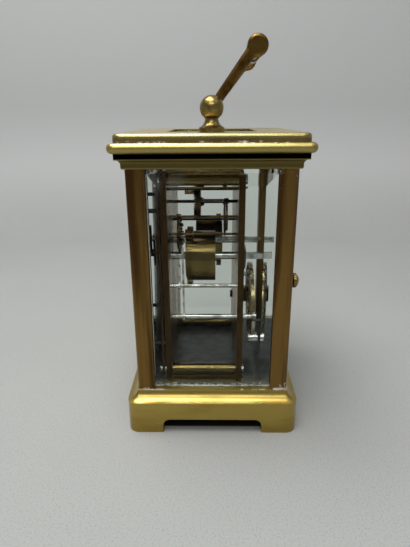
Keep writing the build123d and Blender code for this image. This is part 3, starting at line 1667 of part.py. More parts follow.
fly_arbor = turned_arbor(
    fly_place,
    [front_pivot, plain_span, rear_pivot],
    fly_leaves,
    warning_wheel_y - leaf_overlap,
    wheel_thickness + 2 * leaf_overlap,
    strike_module,
    fly_leaf_phase,
    0,
)
with BuildPart() as fly:
    add(fly_arbor.part)
    with BuildSketch(across(plate_span / 2 - fly_vane_length)) as vane:
        with Locations(fly_place):
            Rectangle(fly_vane_height, fly_vane_thickness)
    extrude(amount=fly_vane_length)
keep(fly, "fly")

# Strike release: an arbor between the plates, with an arm that the motion work lifts
release_spans = (front_pivot, (plain_span[0], plain_span[1], release_radius), rear_pivot)
arm_middle = (release_place[0], release_place[1] + release_arm_length / 2)
with BuildPart() as strike_release:
    for start, stop, radius in release_spans:
        with BuildSketch(across(stop)):
            with Locations(release_place):
                Circle(radius)
        extrude(amount=stop - start)
    with BuildSketch(across(release_arm_y + hammer_tail_thickness)) as release_arm:
        with Locations(arm_middle):
            Rectangle(release_arm_width, release_arm_length)
        with Locations(release_place):
            Circle(2 * release_radius)
    extrude(amount=hammer_tail_thickness)
keep(strike_release, "strike_release")

# Gong: a wound strip on a block behind the back plate
gong_inner_radius = gong_outer_radius - (gong_half_turns - 1) * gong_pitch / 2
gong_arcs = spiral_line((0, gong_z), gong_inner_radius, gong_pitch, gong_half_turns)
gong = spiral_strip(across(gong_y), gong_arcs, gong_wire, gong_height)
keep(gong, "gong")
print("gong least gap", round(least_self_gap(gong_arcs, gong_wire, gap_samples), 3))

# Hammer: arbor through both plates, a tail up to the lifting pins, a stem and a head at the gong
struck_arc = gong_arcs[-2]  # the outer half turn on the lower side
head_place = common_point(
    hammer_place,
    hammer_stem_length,
    (struck_arc[0], struck_arc[1]),
    struck_arc[2] + gong_wire / 2 + hammer_head_radius + hammer_gap,
    1,
)
tail_top = pin_arbor[1] - lifting_circle - lifting_pin_radius - hammer_gap
tail_length = tail_top - hammer_z
stem_angle = math.degrees(math.atan2(head_place[1] - hammer_z, head_place[0] - hammer_x))
stem_middle = polar(hammer_place, hammer_stem_length / 2, stem_angle)
tail_y = pin_disc_y + lifting_pin_length
with BuildPart() as hammer:
    with BuildSketch(across(gong_y + hammer_stem_width / 2)) as hammer_arbor:
        with Locations(hammer_place):
            Circle(hammer_radius)
    extrude(amount=gong_y + hammer_stem_width / 2 - front_face_y)
    with BuildSketch(across(tail_y)) as hammer_tail:
        with Locations((hammer_x, hammer_z + tail_length / 2)):
            Rectangle(hammer_tail_width, tail_length)
        with Locations(hammer_place):
            Circle(2 * hammer_radius)
    extrude(amount=hammer_tail_thickness)
    with BuildSketch(across(gong_y + hammer_stem_width / 2)) as hammer_stem:
        with Locations(hammer_place):
            Circle(2 * hammer_radius)
        with Locations(Location(stem_middle, stem_angle)):
            Rectangle(hammer_stem_length, hammer_stem_width)
    extrude(amount=hammer_stem_width)
    with BuildSketch(across(gong_y + hammer_head_length / 2)) as hammer_head:
        with Locations(head_place):
            Circle(hammer_head_radius)
    extrude(amount=hammer_head_length)
keep(hammer, "hammer")

with BuildPart() as gong_block:
    with BuildSketch(across(gong_y + gong_height)) as block_plan:
        with Locations(gong_foot):
            Rectangle(gong_block_side, gong_block_height)
    extrude(amount=gong_y + gong_height - rear_face_y)
    with BuildSketch(across(rear_face_y)) as block_shank:
        with Locations(gong_foot):
            Circle(gong_screw_radius)
    extrude(amount=plate_thickness + seat_gap)
    with BuildSketch(across(back_plate_y - seat_gap)) as block_nut:
        with Locations(gong_foot):
            Circle(gong_screw_head_radius)
    extrude(amount=gong_screw_head_height)
keep(gong_block, "gong_block")
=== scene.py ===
# %% [markdown]
# A brass table clock with glass walls, dressed for the picture. The solids come from the packed
# model, in metres, and stay where they are: this file gives them their finishes, adds what is too
# fine for the solids, and sets up the floor, the light and the camera.

# %% Load the solids
import json
import math

import bmesh
import bpy
from mathutils import Matrix, Vector


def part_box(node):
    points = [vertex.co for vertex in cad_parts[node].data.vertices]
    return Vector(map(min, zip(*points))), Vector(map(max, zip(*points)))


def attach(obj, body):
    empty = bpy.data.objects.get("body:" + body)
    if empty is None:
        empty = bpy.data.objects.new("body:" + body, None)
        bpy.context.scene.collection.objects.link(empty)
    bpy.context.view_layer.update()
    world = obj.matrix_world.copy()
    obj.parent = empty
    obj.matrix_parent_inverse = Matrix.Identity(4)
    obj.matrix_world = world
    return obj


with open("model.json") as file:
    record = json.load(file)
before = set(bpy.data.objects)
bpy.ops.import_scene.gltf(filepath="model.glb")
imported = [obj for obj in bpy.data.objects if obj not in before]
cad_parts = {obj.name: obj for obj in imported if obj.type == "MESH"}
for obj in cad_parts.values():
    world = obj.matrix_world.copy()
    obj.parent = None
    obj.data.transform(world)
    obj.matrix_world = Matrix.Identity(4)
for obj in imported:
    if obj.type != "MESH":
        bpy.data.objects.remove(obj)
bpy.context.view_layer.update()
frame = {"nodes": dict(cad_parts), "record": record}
nodes = frame["nodes"]
scene = bpy.context.scene
print("solids loaded:", len(nodes))

# %% [markdown]
# The camera stands to the side of the clock, a little above it. It could be set by eye, but its
# place, its tilt and its focal length were worked out from straight edges of the case, so the base,
# the cornice and the handle fall where they do in the picture.

# %% The camera
IMAGE_WIDTH = 410
IMAGE_HEIGHT = 547
FOCAL_PIXELS = 440.6
CAMERA_PLACE = Vector((0.19279, 0.00028, 0.12389))
CAMERA_YAW = math.radians(1.06)
CAMERA_PITCH = math.radians(19.39)
CAMERA_ROLL = math.radians(-0.42)

ahead = Vector((
    -math.cos(CAMERA_YAW) * math.cos(CAMERA_PITCH),
    -math.sin(CAMERA_YAW) * math.cos(CAMERA_PITCH),
    -math.sin(CAMERA_PITCH),
))
level_right = ahead.cross(Vector((0, 0, 1))).normalized()
level_up = level_right.cross(ahead)
right = math.cos(CAMERA_ROLL) * level_right + math.sin(CAMERA_ROLL) * level_up
up = -math.sin(CAMERA_ROLL) * level_right + math.cos(CAMERA_ROLL) * level_up

camera_data = bpy.data.cameras.new("camera")
camera_data.sensor_width = 36.0
camera_data.sensor_fit = "AUTO"
camera_data.lens = FOCAL_PIXELS * camera_data.sensor_width / max(IMAGE_WIDTH, IMAGE_HEIGHT)
camera_data.clip_start = 0.01
camera = bpy.data.objects.new("camera", camera_data)
camera.matrix_world = Matrix((
    (right.x, up.x, -ahead.x, CAMERA_PLACE.x),
    (right.y, up.y, -ahead.y, CAMERA_PLACE.y),
    (right.z, up.z, -ahead.z, CAMERA_PLACE.z),
    (0, 0, 0, 1),
))
scene.collection.objects.link(camera)
scene.camera = camera
print("lens:", round(camera_data.lens, 2), "mm")

# %% [markdown]
# Finishes are sums of masks. Each sum could be wired by hand, node by node, but it reads better as
# plain Python. A Value wraps a socket, and its operators add Math nodes. Nodes adds any other node
# to a tree.

# %% Node maths
class Value:
    """A socket of a node tree, with the operators that add Math nodes to it."""

    def __init__(self, nodes, socket):
        self.nodes = nodes
        self.socket = socket

    def math(self, operation, *others, clamp=False):
        settings = {"operation": operation, "use_clamp": clamp}
        return self.nodes.node("ShaderNodeMath", settings, dict(enumerate((self, *others))))

    def __add__(self, other):
        return self.math("ADD", other)

    def __sub__(self, other):
        return self.math("SUBTRACT", other)

    def __mul__(self, other):
        return self.math("MULTIPLY", other)

    def __truediv__(self, other):
        return self.math("DIVIDE", other)

    def __rsub__(self, other):
        return (self - other) * -1.0

    __radd__ = __add__
    __rmul__ = __mul__

    def absolute(self):
        return self.math("ABSOLUTE")

    def clamp(self):
        return self.math("ADD", 0.0, clamp=True)

    def near(self, place, reach):
        """1 at a place, falling to 0 at the reach."""
        return (1 - (self - place).absolute() / reach).clamp()

    def between(self, low, high):
        """0 below low, 1 above high, with a soft step. From high to low, the step goes down."""
        if low > high:
            return 1 - self.between(high, low)
        return self.nodes.node(
            "ShaderNodeMapRange", {"interpolation_type": "SMOOTHSTEP"},
            {"Value": self, "From Min": low, "From Max": high}, "Result"
        )


class Nodes:
    """A node tree that is built node by node."""

    def __init__(self, tree):
        self.tree = tree

    def node(self, kind, settings=None, sockets=None, output=0):
        node = self.tree.nodes.new(kind)
        for name, value in (settings or {}).items():
            setattr(node, name, value)
        for name, value in (sockets or {}).items():
            self.feed(node.inputs[name], value)
        return Value(self, node.outputs[output])

    def feed(self, socket, value):
        if isinstance(value, Value):
            self.tree.links.new(value.socket, socket)
        else:
            socket.default_value = value

    def split(self, vector):
        parts = self.tree.nodes.new("ShaderNodeSeparateXYZ")
        self.feed(parts.inputs[0], vector)
        return [Value(self, socket) for socket in parts.outputs]


# %% [markdown]
# A Finish is one material. Its patterns could be pictures wrapped round the piece, but noise that
# follows the piece's own coordinates has no seams and stays with the piece when it moves. Colours are
# written as they look on a screen, and a shader wants them linear.

# %% One material
class Finish(Nodes):
    """One material. Its patterns follow the piece's own coordinates, in metres."""

    def __init__(self, name):
        self.material = bpy.data.materials.new(name)
        self.material.use_nodes = True
        super().__init__(self.material.node_tree)
        self.tree.nodes.clear()
        self.output = self.tree.nodes.new("ShaderNodeOutputMaterial")
        self.place = self.node("ShaderNodeTexCoord", output="Object")
        self.x, self.y, self.z = self.split(self.place)

    def noise(self, scale, stretch=(1, 1, 1), detail=4.0, roughness=0.55):
        placed = self.node("ShaderNodeMapping", None, {"Vector": self.place, "Scale": stretch})
        sockets = {"Vector": placed, "Scale": scale, "Detail": detail, "Roughness": roughness}
        return self.node("ShaderNodeTexNoise", None, sockets)

    def blend(self, mask, first, second):
        """A colour that goes from first to second with the mask."""
        sockets = {"Factor": mask, 6: first, 7: second}
        return self.node("ShaderNodeMix", {"data_type": "RGBA"}, sockets, 2)

    def bump(self, height, strength, distance):
        sockets = {"Height": height, "Strength": strength, "Distance": distance}
        return self.node("ShaderNodeBump", None, sockets)

    def shader(self, sockets):
        return self.node("ShaderNodeBsdfPrincipled", None, sockets)

    def surface(self, shader):
        self.feed(self.output.inputs["Surface"], shader)
        return self.material


def linear(red, green, blue):
    """An sRGB colour, 0 to 255, as the linear colour that a shader takes."""
    def channel(value):
        value /= 255
        return value / 12.92 if value <= 0.04045 else ((value + 0.055) / 1.055) ** 2.4
    return (channel(red), channel(green), channel(blue), 1.0)


print("a screen grey of 128 is", round(linear(128, 128, 128)[0], 3), "to a shader")

# %% [markdown]
# Old brass is two metals to the eye: where hands and cloths reach, it stays yellow, and elsewhere
# it turns brown. White polish dries in the seams and stays there. Each piece could have a material
# of its own, but the metal is the same, so one function makes them all. It takes a clean colour, a
# tarnished colour and how far the tarnish has spread. A piece may add masks of its own: for more
# tarnish, which also carries painted shade in the tarnished colour and, where it is lowered, painted
# highlight; for polish left behind; and for raw places that were never polished, which also carry
# painted shade and a painted reflection in a colour of their own.

# %% Brass
DRIED_POLISH = linear(206, 204, 192)
PIT_BROWN = linear(48, 36, 20)
GRAIN_SCALE = 1100.0
PIT_SCALE = 2200.0
FLECK_SCALE = 700.0
PATCH_SCALE = 70.0


def brass(name, clean, tarnish_and_shade_colour, spread, streak, roughness, scale, masks=None, lacquer=0.0):
    finish = Finish(name)
    clouds = finish.noise(scale, streak, detail=5.0)
    grain = finish.noise(GRAIN_SCALE, streak, detail=3.0)
    pits = finish.noise(PIT_SCALE, detail=2.0)
    shift = spread * 0.4
    tarnish_and_painted_shade = (clouds * 0.85 + grain * 0.15).between(0.60 - shift, 0.84 - shift)
    extra = masks(finish) if masks else {}
    # A piece's tarnish mask also carries painted shade, and painted highlight where it is lowered.
    if "tarnish_and_painted_shade" in extra:
        tarnish_and_painted_shade = (tarnish_and_painted_shade + extra["tarnish_and_painted_shade"]).clamp()
    colour = finish.blend(tarnish_and_painted_shade, clean, tarnish_and_shade_colour)
    colour = finish.blend(pits.between(0.64, 0.72) * 0.22, colour, PIT_BROWN)
    metal = 1.0
    rough = tarnish_and_painted_shade * 0.14 + (grain * 0.14 + (roughness - 0.07))
    # Raw places take their own colour here, and so do painted shade and a painted reflection.
    if "raw_and_painted_light" in extra:
        colour = finish.blend(extra["raw_and_painted_light"], colour, extra["raw_and_painted_light_colour"])
        metal = 1 - extra["raw_and_painted_light"] * (1 - extra.get("raw_and_painted_light_metal", 0.2))
        rough = rough + extra["raw_and_painted_light"] * 0.25
    if "polish" in extra:
        flecks = finish.noise(FLECK_SCALE, detail=3.0, roughness=0.7)
        patches = finish.noise(PATCH_SCALE, detail=2.0)
        polish = extra["polish"] * patches.between(0.35, 0.6) + (flecks - 0.5) * 1.6 - 0.35
        polish = polish.between(0.15, 0.4)
        colour = finish.blend(polish, colour, DRIED_POLISH)
        bare = metal - polish * 0.95
        metal = bare.clamp() if isinstance(metal, Value) else bare
        rough = rough + polish * 0.4
    return finish.surface(finish.shader({
        "Base Color": colour,
        "Metallic": metal,
        "Roughness": rough,
        "Coat Weight": lacquer,
        "Coat Roughness": 0.12,
        "Normal": finish.bump(grain * 0.6 + pits * 0.4, 0.05, 0.0002),
    }))


# %% [markdown]
# The posts, the handle, the door frame and most of the movement need no masks. They differ in
# colour, in how brown they are, in how fine the brown is, and in which way it runs: a streak is
# noise that is stretched along one direction.

# %% Plain brass pieces
EVEN = (1, 1, 1)
LENGTHWAYS = (1, 1, 0.3)

post_brass = brass(
    "post_brass", linear(150, 130, 78), linear(92, 70, 36), 0.45, EVEN, 0.24, 160.0
)
handle_brass = brass(
    "handle_brass", linear(122, 94, 46), linear(78, 53, 22), 0.5, EVEN, 0.20, 160.0
)
door_brass = brass(
    "door_brass", linear(112, 84, 46), linear(86, 62, 34), 0.5, LENGTHWAYS, 0.32, 90.0
)
platform_brass = brass(
    "platform_brass", linear(132, 104, 56), linear(88, 66, 36), 0.4, EVEN, 0.26, 160.0
)
drum_brass = brass(
    "drum_brass", linear(112, 96, 58), linear(84, 70, 42), 0.4, EVEN, 0.14, 90.0
)
wheel_brass = brass(
    "wheel_brass", linear(84, 64, 36), linear(42, 31, 18), 0.5, EVEN, 0.28, 160.0
)
print("finishes so far:", len(bpy.data.materials))

# %% [markdown]
# The base is the best kept piece: cloths polish its wall and its hollow moulding. Its inside was
# never finished, and the floor of the case is dark grey. The hollow between the feet is painted
# nearly black, as painted shade under the base. The lowest part of the wall is darker towards the
# bottom.
# Polish has dried along the foot of the glass. These marks could be painted on, but they follow
# height and the distance from the middle, so masks on the piece's coordinates are enough.

# %% The base
base_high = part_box("base")[1]
pillar_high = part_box("corner_pillars")[1]
ALONG_SIDES = (0.3, 0.3, 1)
CASE_FLOOR_INSET = 0.0022
CASE_FLOOR_DEPTH = 0.0030
PAINTED_SHADE_HOLLOW_INSET = 0.0030


def inside(finish, corner, inset, soft=0.0004):
    """1 within a rectangle about the middle, that lies an inset inside a box's corner."""
    in_x = finish.x.absolute().between(corner.x - inset, corner.x - inset - soft)
    in_y = finish.y.absolute().between(corner.y - inset, corner.y - inset - soft)
    return in_x * in_y


def base_masks(finish):
    upper_face = finish.z.between(base_high.z - 0.0004, base_high.z - 0.0002)
    floor = upper_face * inside(finish, pillar_high, CASE_FLOOR_INSET)
    floor_bottom = base_high.z - CASE_FLOOR_DEPTH
    below_floor = finish.z.between(floor_bottom, floor_bottom - 0.0002)
    # The hollow under the floor of the case, between the feet, is painted shade.
    painted_shade_hollow = below_floor * inside(finish, base_high, PAINTED_SHADE_HOLLOW_INSET)
    ledge = finish.z.between(base_high.z - 0.0007, base_high.z - 0.0002)
    rim = 1 - inside(finish, pillar_high, -0.0002, soft=0.0012)
    # The lowest 5 mm of the base is darker towards the bottom.
    foot = finish.z.between(0.005, 0.0)
    shade = finish.noise(240.0).between(0.35, 0.65)
    floor_grey = finish.blend(shade, linear(44, 45, 44), linear(72, 73, 70))
    return {
        "tarnish_and_painted_shade": foot * 0.5,
        "raw_and_painted_light": (floor + painted_shade_hollow).clamp(),
        # Nearly black painted shade in the hollow, dark grey on the floor of the case.
        "raw_and_painted_light_colour": finish.blend(painted_shade_hollow, floor_grey, linear(10, 9, 7)),
        "polish": ledge * rim * 0.80,
    }


base_brass = brass(
    "base_brass", linear(176, 152, 72), linear(156, 130, 54), 0.45, ALONG_SIDES, 0.30, 90.0,
    base_masks, lacquer=0.5
)
print("base height:", round(base_high.z * 1000, 1), "mm")

# %% [markdown]
# The pillars are browner, with streaks along their height and a lighter band down each face.
# Polish lies in crumbs at both ends of the rear pair, and at the foot of all four.

# %% The pillars
ALONG_HEIGHT = (1, 1, 0.05)
PILLAR_BAND = 0.0045
PILLAR_BAND_REACH = 0.0016


def pillar_masks(finish):
    ends = (finish.z.between(pillar_high.z - 0.018, pillar_high.z - 0.004)
            + finish.z.between(base_high.z + 0.010, base_high.z + 0.002))
    rear = finish.y.between(0.0, 0.001)
    foot = finish.z.between(base_high.z + 0.0012, base_high.z + 0.0004)
    # A lighter band runs down each face, 4.5 mm in from the outer edge.
    band = (finish.x.absolute().near(pillar_high.x - PILLAR_BAND, PILLAR_BAND_REACH)
            + finish.y.absolute().near(pillar_high.y - PILLAR_BAND, PILLAR_BAND_REACH))
    return {"tarnish_and_painted_shade": band * -0.45, "polish": ends * rear * 0.52 + foot * 0.55}


pillar_brass = brass(
    "pillar_brass", linear(126, 98, 52), linear(78, 55, 29), 0.55, ALONG_HEIGHT, 0.30, 200.0,
    pillar_masks
)
print("pillar tops at:", round(pillar_high.z * 1000, 1), "mm")

# %% [markdown]
# On the cornice, the bead that stands out is bright above and painted brown below, as painted shade.
# The flat band under it is painted black, as painted shade in the recess, and the hollow below that
# is painted dark, as painted shade, with a painted highlight as a bright line along each arris. All
# of it runs level round the case, so each mask is a step or a line in height.

# %% The cornice
cornice_low, cornice_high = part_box("cornice")
FASCIA_BOTTOM = cornice_low.z + 0.0031
FASCIA_TOP = cornice_low.z + 0.0056


def cornice_masks(finish):
    # The fascia is painted black, as painted shade in the recess under the bead.
    fascia_painted_shade = (finish.z.between(FASCIA_BOTTOM, FASCIA_BOTTOM + 0.0003)
              * finish.z.between(FASCIA_TOP, FASCIA_TOP - 0.0003))
    # The cove below it is painted dark, as painted shade.
    cove_painted_shade = finish.z.between(FASCIA_BOTTOM + 0.0002, FASCIA_BOTTOM - 0.0002)
    # Bright lines along the arrises are painted highlights.
    arris_painted_highlights = (finish.z.near(FASCIA_BOTTOM + 0.0003, 0.0004)
             + finish.z.near(cornice_low.z, 0.0006))
    seam = finish.z.between(cornice_high.z - 0.0006, cornice_high.z - 0.0002)
    # The lower half of the bead is painted brown, as painted shade.
    under_bead_painted_shade = (finish.z.between(FASCIA_TOP - 0.0003, FASCIA_TOP)
                  * finish.z.between(cornice_high.z - 0.0010, FASCIA_TOP))
    return {
        "tarnish_and_painted_shade": (cove_painted_shade * 0.9 + under_bead_painted_shade * 0.5 - arris_painted_highlights * 0.7).clamp(),
        "raw_and_painted_light": (fascia_painted_shade - arris_painted_highlights * 0.6).clamp(),
        "raw_and_painted_light_colour": linear(4, 3, 2),
        "raw_and_painted_light_metal": 1.0,
        "polish": seam * 0.55,
    }


# The tarnished brown also paints the shade on the cove and under the bead.
cornice_brass = brass(
    "cornice_brass", linear(194, 175, 106), linear(86, 74, 40), 0.12, ALONG_SIDES, 0.29, 60.0,
    cornice_masks
)
print("cornice height:", round((cornice_high.z - cornice_low.z) * 1000, 1), "mm")

# %% [markdown]
# The top frame is a slab with a rounded edge. Its level face is painted pale in soft patches, as a
# painted reflection of the pale surroundings, its wall is painted brown below the rounded edge, as
# painted shade, and polish fills the seam where it meets the cornice.

# %% The top frame
top_low, top_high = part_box("top_frame")


def top_masks(finish):
    seam = finish.z.between(top_low.z + 0.0011, top_low.z + 0.0004)
    level = finish.z.between(top_high.z - 0.0003, top_high.z - 0.0001)
    # Pale patches on the level face are a painted reflection.
    painted_reflection_patches = finish.noise(60.0, detail=5.0).between(0.36, 0.62)
    # Below the rounded edge the wall is painted brown, as painted shade.
    wall = finish.z.between(top_high.z - 0.0012, top_high.z - 0.0019)
    return {
        "tarnish_and_painted_shade": wall * 0.75,
        "raw_and_painted_light": level * (painted_reflection_patches * 0.20 + 0.30),
        "raw_and_painted_light_colour": linear(204, 196, 164),
        "raw_and_painted_light_metal": 0.85,
        "polish": seam * 0.55,
    }


# The tarnished brown also paints the shade on the wall.
top_brass = brass(
    "top_brass", linear(178, 162, 104), linear(118, 100, 64), 0.4, ALONG_SIDES, 0.26, 60.0,
    top_masks
)
print("top face at:", round(top_high.z * 1000, 1), "mm")

# %% [markdown]
# Two brass plates carry the movement. Their faces are fairly clean, but their narrow edges, which
# nobody rubs, have gone brown. The edges lie at the greatest distance from the middle across X, so
# one step in that distance picks them out.

# %% The plates
plate_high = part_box("back_plate")[1]


def plate_masks(finish):
    edge = finish.x.absolute().between(plate_high.x - 0.0008, plate_high.x - 0.0004)
    return {"raw_and_painted_light": edge * 0.85, "raw_and_painted_light_colour": linear(58, 40, 20), "raw_and_painted_light_metal": 1.0}


plate_brass = brass(
    "plate_brass", linear(128, 101, 55), linear(98, 74, 40), 0.4, LENGTHWAYS, 0.28, 60.0,
    plate_masks
)
print("plate width:", round(plate_high.x * 2000, 1), "mm")

# %% [markdown]
# The arbors, the gong, the clicks, the screws and the hands are steel, some bright, some dull and
# some blued by heat. One function makes each of them, from a bright and a dull colour in soft clouds
# and a fine bump that breaks up the shine.

# %% Steel
def steel(name, bright, dull, roughness):
    finish = Finish(name)
    clouds = finish.noise(260.0, detail=5.0)
    grain = finish.noise(2600.0, detail=2.0)
    return finish.surface(finish.shader({
        "Base Color": finish.blend(clouds.between(0.4, 0.7), bright, dull),
        "Metallic": 1.0,
        "Roughness": clouds * 0.2 + (roughness - 0.1),
        "Normal": finish.bump(grain, 0.08, 0.0001),
    }))


arbor_steel = steel("arbor_steel", linear(196, 196, 192), linear(132, 128, 120), 0.24)
pivot_steel = steel("pivot_steel", linear(52, 46, 40), linear(28, 25, 22), 0.32)
ratchet_steel = steel("ratchet_steel", linear(104, 100, 96), linear(66, 62, 60), 0.34)
gong_steel = steel("gong_steel", linear(150, 136, 100), linear(92, 80, 56), 0.28)
blued_steel = steel("blued_steel", linear(36, 44, 84), linear(20, 22, 40), 0.3)
print("finishes so far:", len(bpy.data.materials))

# %% [markdown]
# Each pane is a solid with a ground bevel round it, so its bright edges come from the shape. Real
# glass bends light on its way to a lamp, which takes many samples to show. Here that light passes
# straight through, which keeps the inside lit. A thin film of dried polish lies in patches along the
# edges of the side panes, with a smear in one upper corner.

# %% Glass
GLASS_TINT = (0.93, 0.965, 0.945, 1.0)
SHADE_TINT = (0.93, 0.95, 0.94, 1.0)
FILM_GREY = (0.55, 0.57, 0.53, 1.0)
REFLECTION = 0.08
SIDE_PANE_X = (0.0275, 0.0290)
PANE_EDGE_Y = (0.0215, 0.0255)
SMEAR_Y = (-0.006, -0.020)
SMEAR_Z = (0.096, 0.103)


def clear_glass():
    finish = Finish("clear_glass")
    pane = finish.shader({
        "Base Color": GLASS_TINT,
        "Roughness": 0.0,
        "IOR": 1.5,
        "Specular Tint": (REFLECTION, REFLECTION, REFLECTION, 1.0),
        "Transmission Weight": 1.0,
    })
    passing = finish.node("ShaderNodeBsdfTransparent", None, {"Color": SHADE_TINT})
    shadow = finish.node("ShaderNodeLightPath", None, None, "Is Shadow Ray")
    clear = finish.node("ShaderNodeMixShader", None, {0: shadow, 1: pane, 2: passing})
    film = finish.shader({"Base Color": FILM_GREY, "Roughness": 0.7})
    foot = finish.z.between(base_high.z + 0.0034, base_high.z + 0.0004)
    side_panes = finish.x.absolute().between(*SIDE_PANE_X)
    edges = side_panes * finish.y.absolute().between(*PANE_EDGE_Y)
    corner = side_panes * finish.y.between(*SMEAR_Y) * finish.z.between(*SMEAR_Z)
    flecks = finish.noise(420.0, detail=4.0, roughness=0.75)
    wipes = finish.noise(150.0, (1, 1, 0.4), detail=5.0)
    spots = (foot * 0.30 + edges * 0.10 + (flecks - 0.5) * 0.9 - 0.10).between(0.1, 0.35) * 0.6
    smear = corner * wipes.between(0.42, 0.68) * 0.22
    sockets = {0: (spots + smear).clamp(), 1: clear, 2: film}
    return finish.surface(finish.node("ShaderNodeMixShader", None, sockets))


glass = clear_glass()
print("glass nodes:", len(glass.node_tree.nodes))

# %% [markdown]
# The dial is white enamel fired on copper, so its front is glossy white and its back is dark metal.
# The two could be two materials, but a step in depth gives both in one. The figures and strokes on
# the dial are black paint.

# %% Enamel and dial paint
dial_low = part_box("dial")[0]


def white_enamel():
    finish = Finish("white_enamel")
    clouds = finish.noise(120.0, detail=4.0)
    white = finish.blend(clouds, linear(240, 238, 230), linear(226, 222, 210))
    back = finish.y.between(dial_low.y + 0.0005, dial_low.y + 0.0008)
    copper = finish.blend(clouds, linear(58, 42, 32), linear(40, 32, 28))
    return finish.surface(finish.shader({
        "Base Color": finish.blend(back, white, copper),
        "Roughness": clouds * 0.1 + back * 0.3 + 0.12,
    }))


def black_paint():
    finish = Finish("dial_paint")
    wear = finish.noise(900.0, detail=3.0)
    worn = finish.blend(wear.between(0.5, 0.8), linear(22, 22, 24), linear(46, 44, 42))
    return finish.surface(finish.shader({
        "Base Color": worn,
        "Roughness": wear * 0.2 + 0.25,
    }))


enamel = white_enamel()
dial_paint = black_paint()
print("dial front at y:", round(dial_low.y * 1000, 1), "mm")

# %% [markdown]
# The record names a material for each solid. That gives most of them their finish, and a second
# table holds those that look different from others of the same metal. A solid keeps its mesh and its
# place, and only its material changes.

# %% Give each solid its finish
SLOT_FINISHES = {
    "polished_brass": base_brass,
    "aged_brass": handle_brass,
    "movement_brass": wheel_brass,
    "steel": arbor_steel,
    "blued_steel": blued_steel,
    "glass": glass,
    "enamel": enamel,
}
NODE_FINISHES = {
    "corner_pillars": pillar_brass,
    "cornice": cornice_brass,
    "top_frame": top_brass,
    "handle_posts": post_brass,
    "door_knob": post_brass,
    "door_frame": door_brass,
    "front_plate": plate_brass,
    "back_plate": plate_brass,
    "movement_pillars": drum_brass,
    "going_barrel": drum_brass,
    "strike_barrel": drum_brass,
    "platform": platform_brass,
    "balance_cock": platform_brass,
    "escape_bridge": platform_brass,
    "gong": gong_steel,
    "going_ratchet": ratchet_steel,
    "strike_ratchet": ratchet_steel,
    "third_arbor": pivot_steel,
    "contrate_arbor": pivot_steel,
    "fly": pivot_steel,
}
slots = {row["node"]: row["material_slot"] for row in frame["record"]["subparts"]}
for name, piece in nodes.items():
    piece.data.materials.clear()
    piece.data.materials.append(NODE_FINISHES.get(name, SLOT_FINISHES[slots[name]]))
print("finishes in use:", len({piece.data.materials[0].name for piece in nodes.values()}))

# %% [markdown]
# What repeats is made by Geometry Nodes: the sixty strokes round the dial, and a slot in every
# screw. A Pattern is one such tree. Its sizes are named inputs, it ends in plain faces with a
# finish, and grow turns the result into an ordinary mesh.

# %% Patterns
class Pattern(Nodes):
    """A Geometry Nodes tree with named sizes."""

    def __init__(self, name, sizes):
        super().__init__(bpy.data.node_groups.new(name, "GeometryNodeTree"))
        sockets = self.tree.interface
        sockets.new_socket("Geometry", in_out="INPUT", socket_type="NodeSocketGeometry")
        for label, kind in sizes.items():
            sockets.new_socket(label, in_out="INPUT", socket_type="NodeSocket" + kind)
        sockets.new_socket("Geometry", in_out="OUTPUT", socket_type="NodeSocketGeometry")
        entry = self.tree.nodes.new("NodeGroupInput")
        self.size = {socket.name: Value(self, socket) for socket in entry.outputs if socket.name}

    def combine(self, x, y, z):
        return self.node("ShaderNodeCombineXYZ", None, {0: x, 1: y, 2: z})

    def end(self, geometry, material):
        plain = self.node("GeometryNodeRealizeInstances", None, {0: geometry})
        dressed = self.node("GeometryNodeSetMaterial", None, {0: plain, "Material": material})
        self.feed(self.tree.nodes.new("NodeGroupOutput").inputs[0], dressed)

    def grow(self, name, sizes, points=((0, 0, 0),)):
        data = bpy.data.meshes.new(name)
        data.from_pydata(points, [], [])
        piece = bpy.data.objects.new(name, data)
        scene.collection.objects.link(piece)
        modifier = piece.modifiers.new("pattern", "NODES")
        modifier.node_group = self.tree
        for item in self.tree.interface.items_tree:
            if item.in_out == "INPUT" and item.name in sizes:
                modifier[item.identifier] = sizes[item.name]
        bpy.context.view_layer.update()
        evaluated = piece.evaluated_get(bpy.context.evaluated_depsgraph_get())
        grown = bpy.data.meshes.new_from_object(evaluated)
        piece.modifiers.remove(modifier)
        piece.data = grown
        print(name, "faces:", len(grown.polygons))
        return piece


# %% [markdown]
# The minute track is painted round the dial: sixty small bars on a circle, every fifth one bolder,
# between two thin rings. Each bar stands on a point of the circle and turns to face outwards. The
# whole is made lying flat and then stood up against the dial.

# %% The minute track
joint_places = {row["name"]: row["pos_m"] for row in frame["record"]["behaviour"]["joints"]}
dial_middle = Vector((0, dial_low.y, joint_places["minute_hand_turn"][2]))
PAINT_DEPTH = 0.00004
BOLD_EXTRA = 1.6

track = Pattern("minute_track", {
    "Strokes": "Int", "Radius": "Float", "Length": "Float", "Width": "Float", "Depth": "Float",
    "Place": "Vector",
})
size = track.size
index = track.node("GeometryNodeInputIndex")
bold = index.math("MODULO", 5.0).math("LESS_THAN", 0.5)
circle = track.node("GeometryNodeMeshCircle", None, {
    "Vertices": size["Strokes"], "Radius": size["Radius"],
})
place = track.node("GeometryNodeInputPosition")
turned = track.node("FunctionNodeAlignRotationToVector", {"axis": "Y"}, {"Vector": place})
bar = track.node("GeometryNodeMeshCube", None, {
    "Size": track.combine(size["Width"], size["Length"], size["Depth"]),
})
bars = track.node("GeometryNodeInstanceOnPoints", None, {
    "Points": circle, "Instance": bar, "Rotation": turned,
    "Scale": track.combine(bold * BOLD_EXTRA + 1.0, 1.0, 1.0),
})
thin = track.node("GeometryNodeCurvePrimitiveCircle", None, {
    "Resolution": 4, "Radius": size["Width"] * 0.5,
})
rings = []
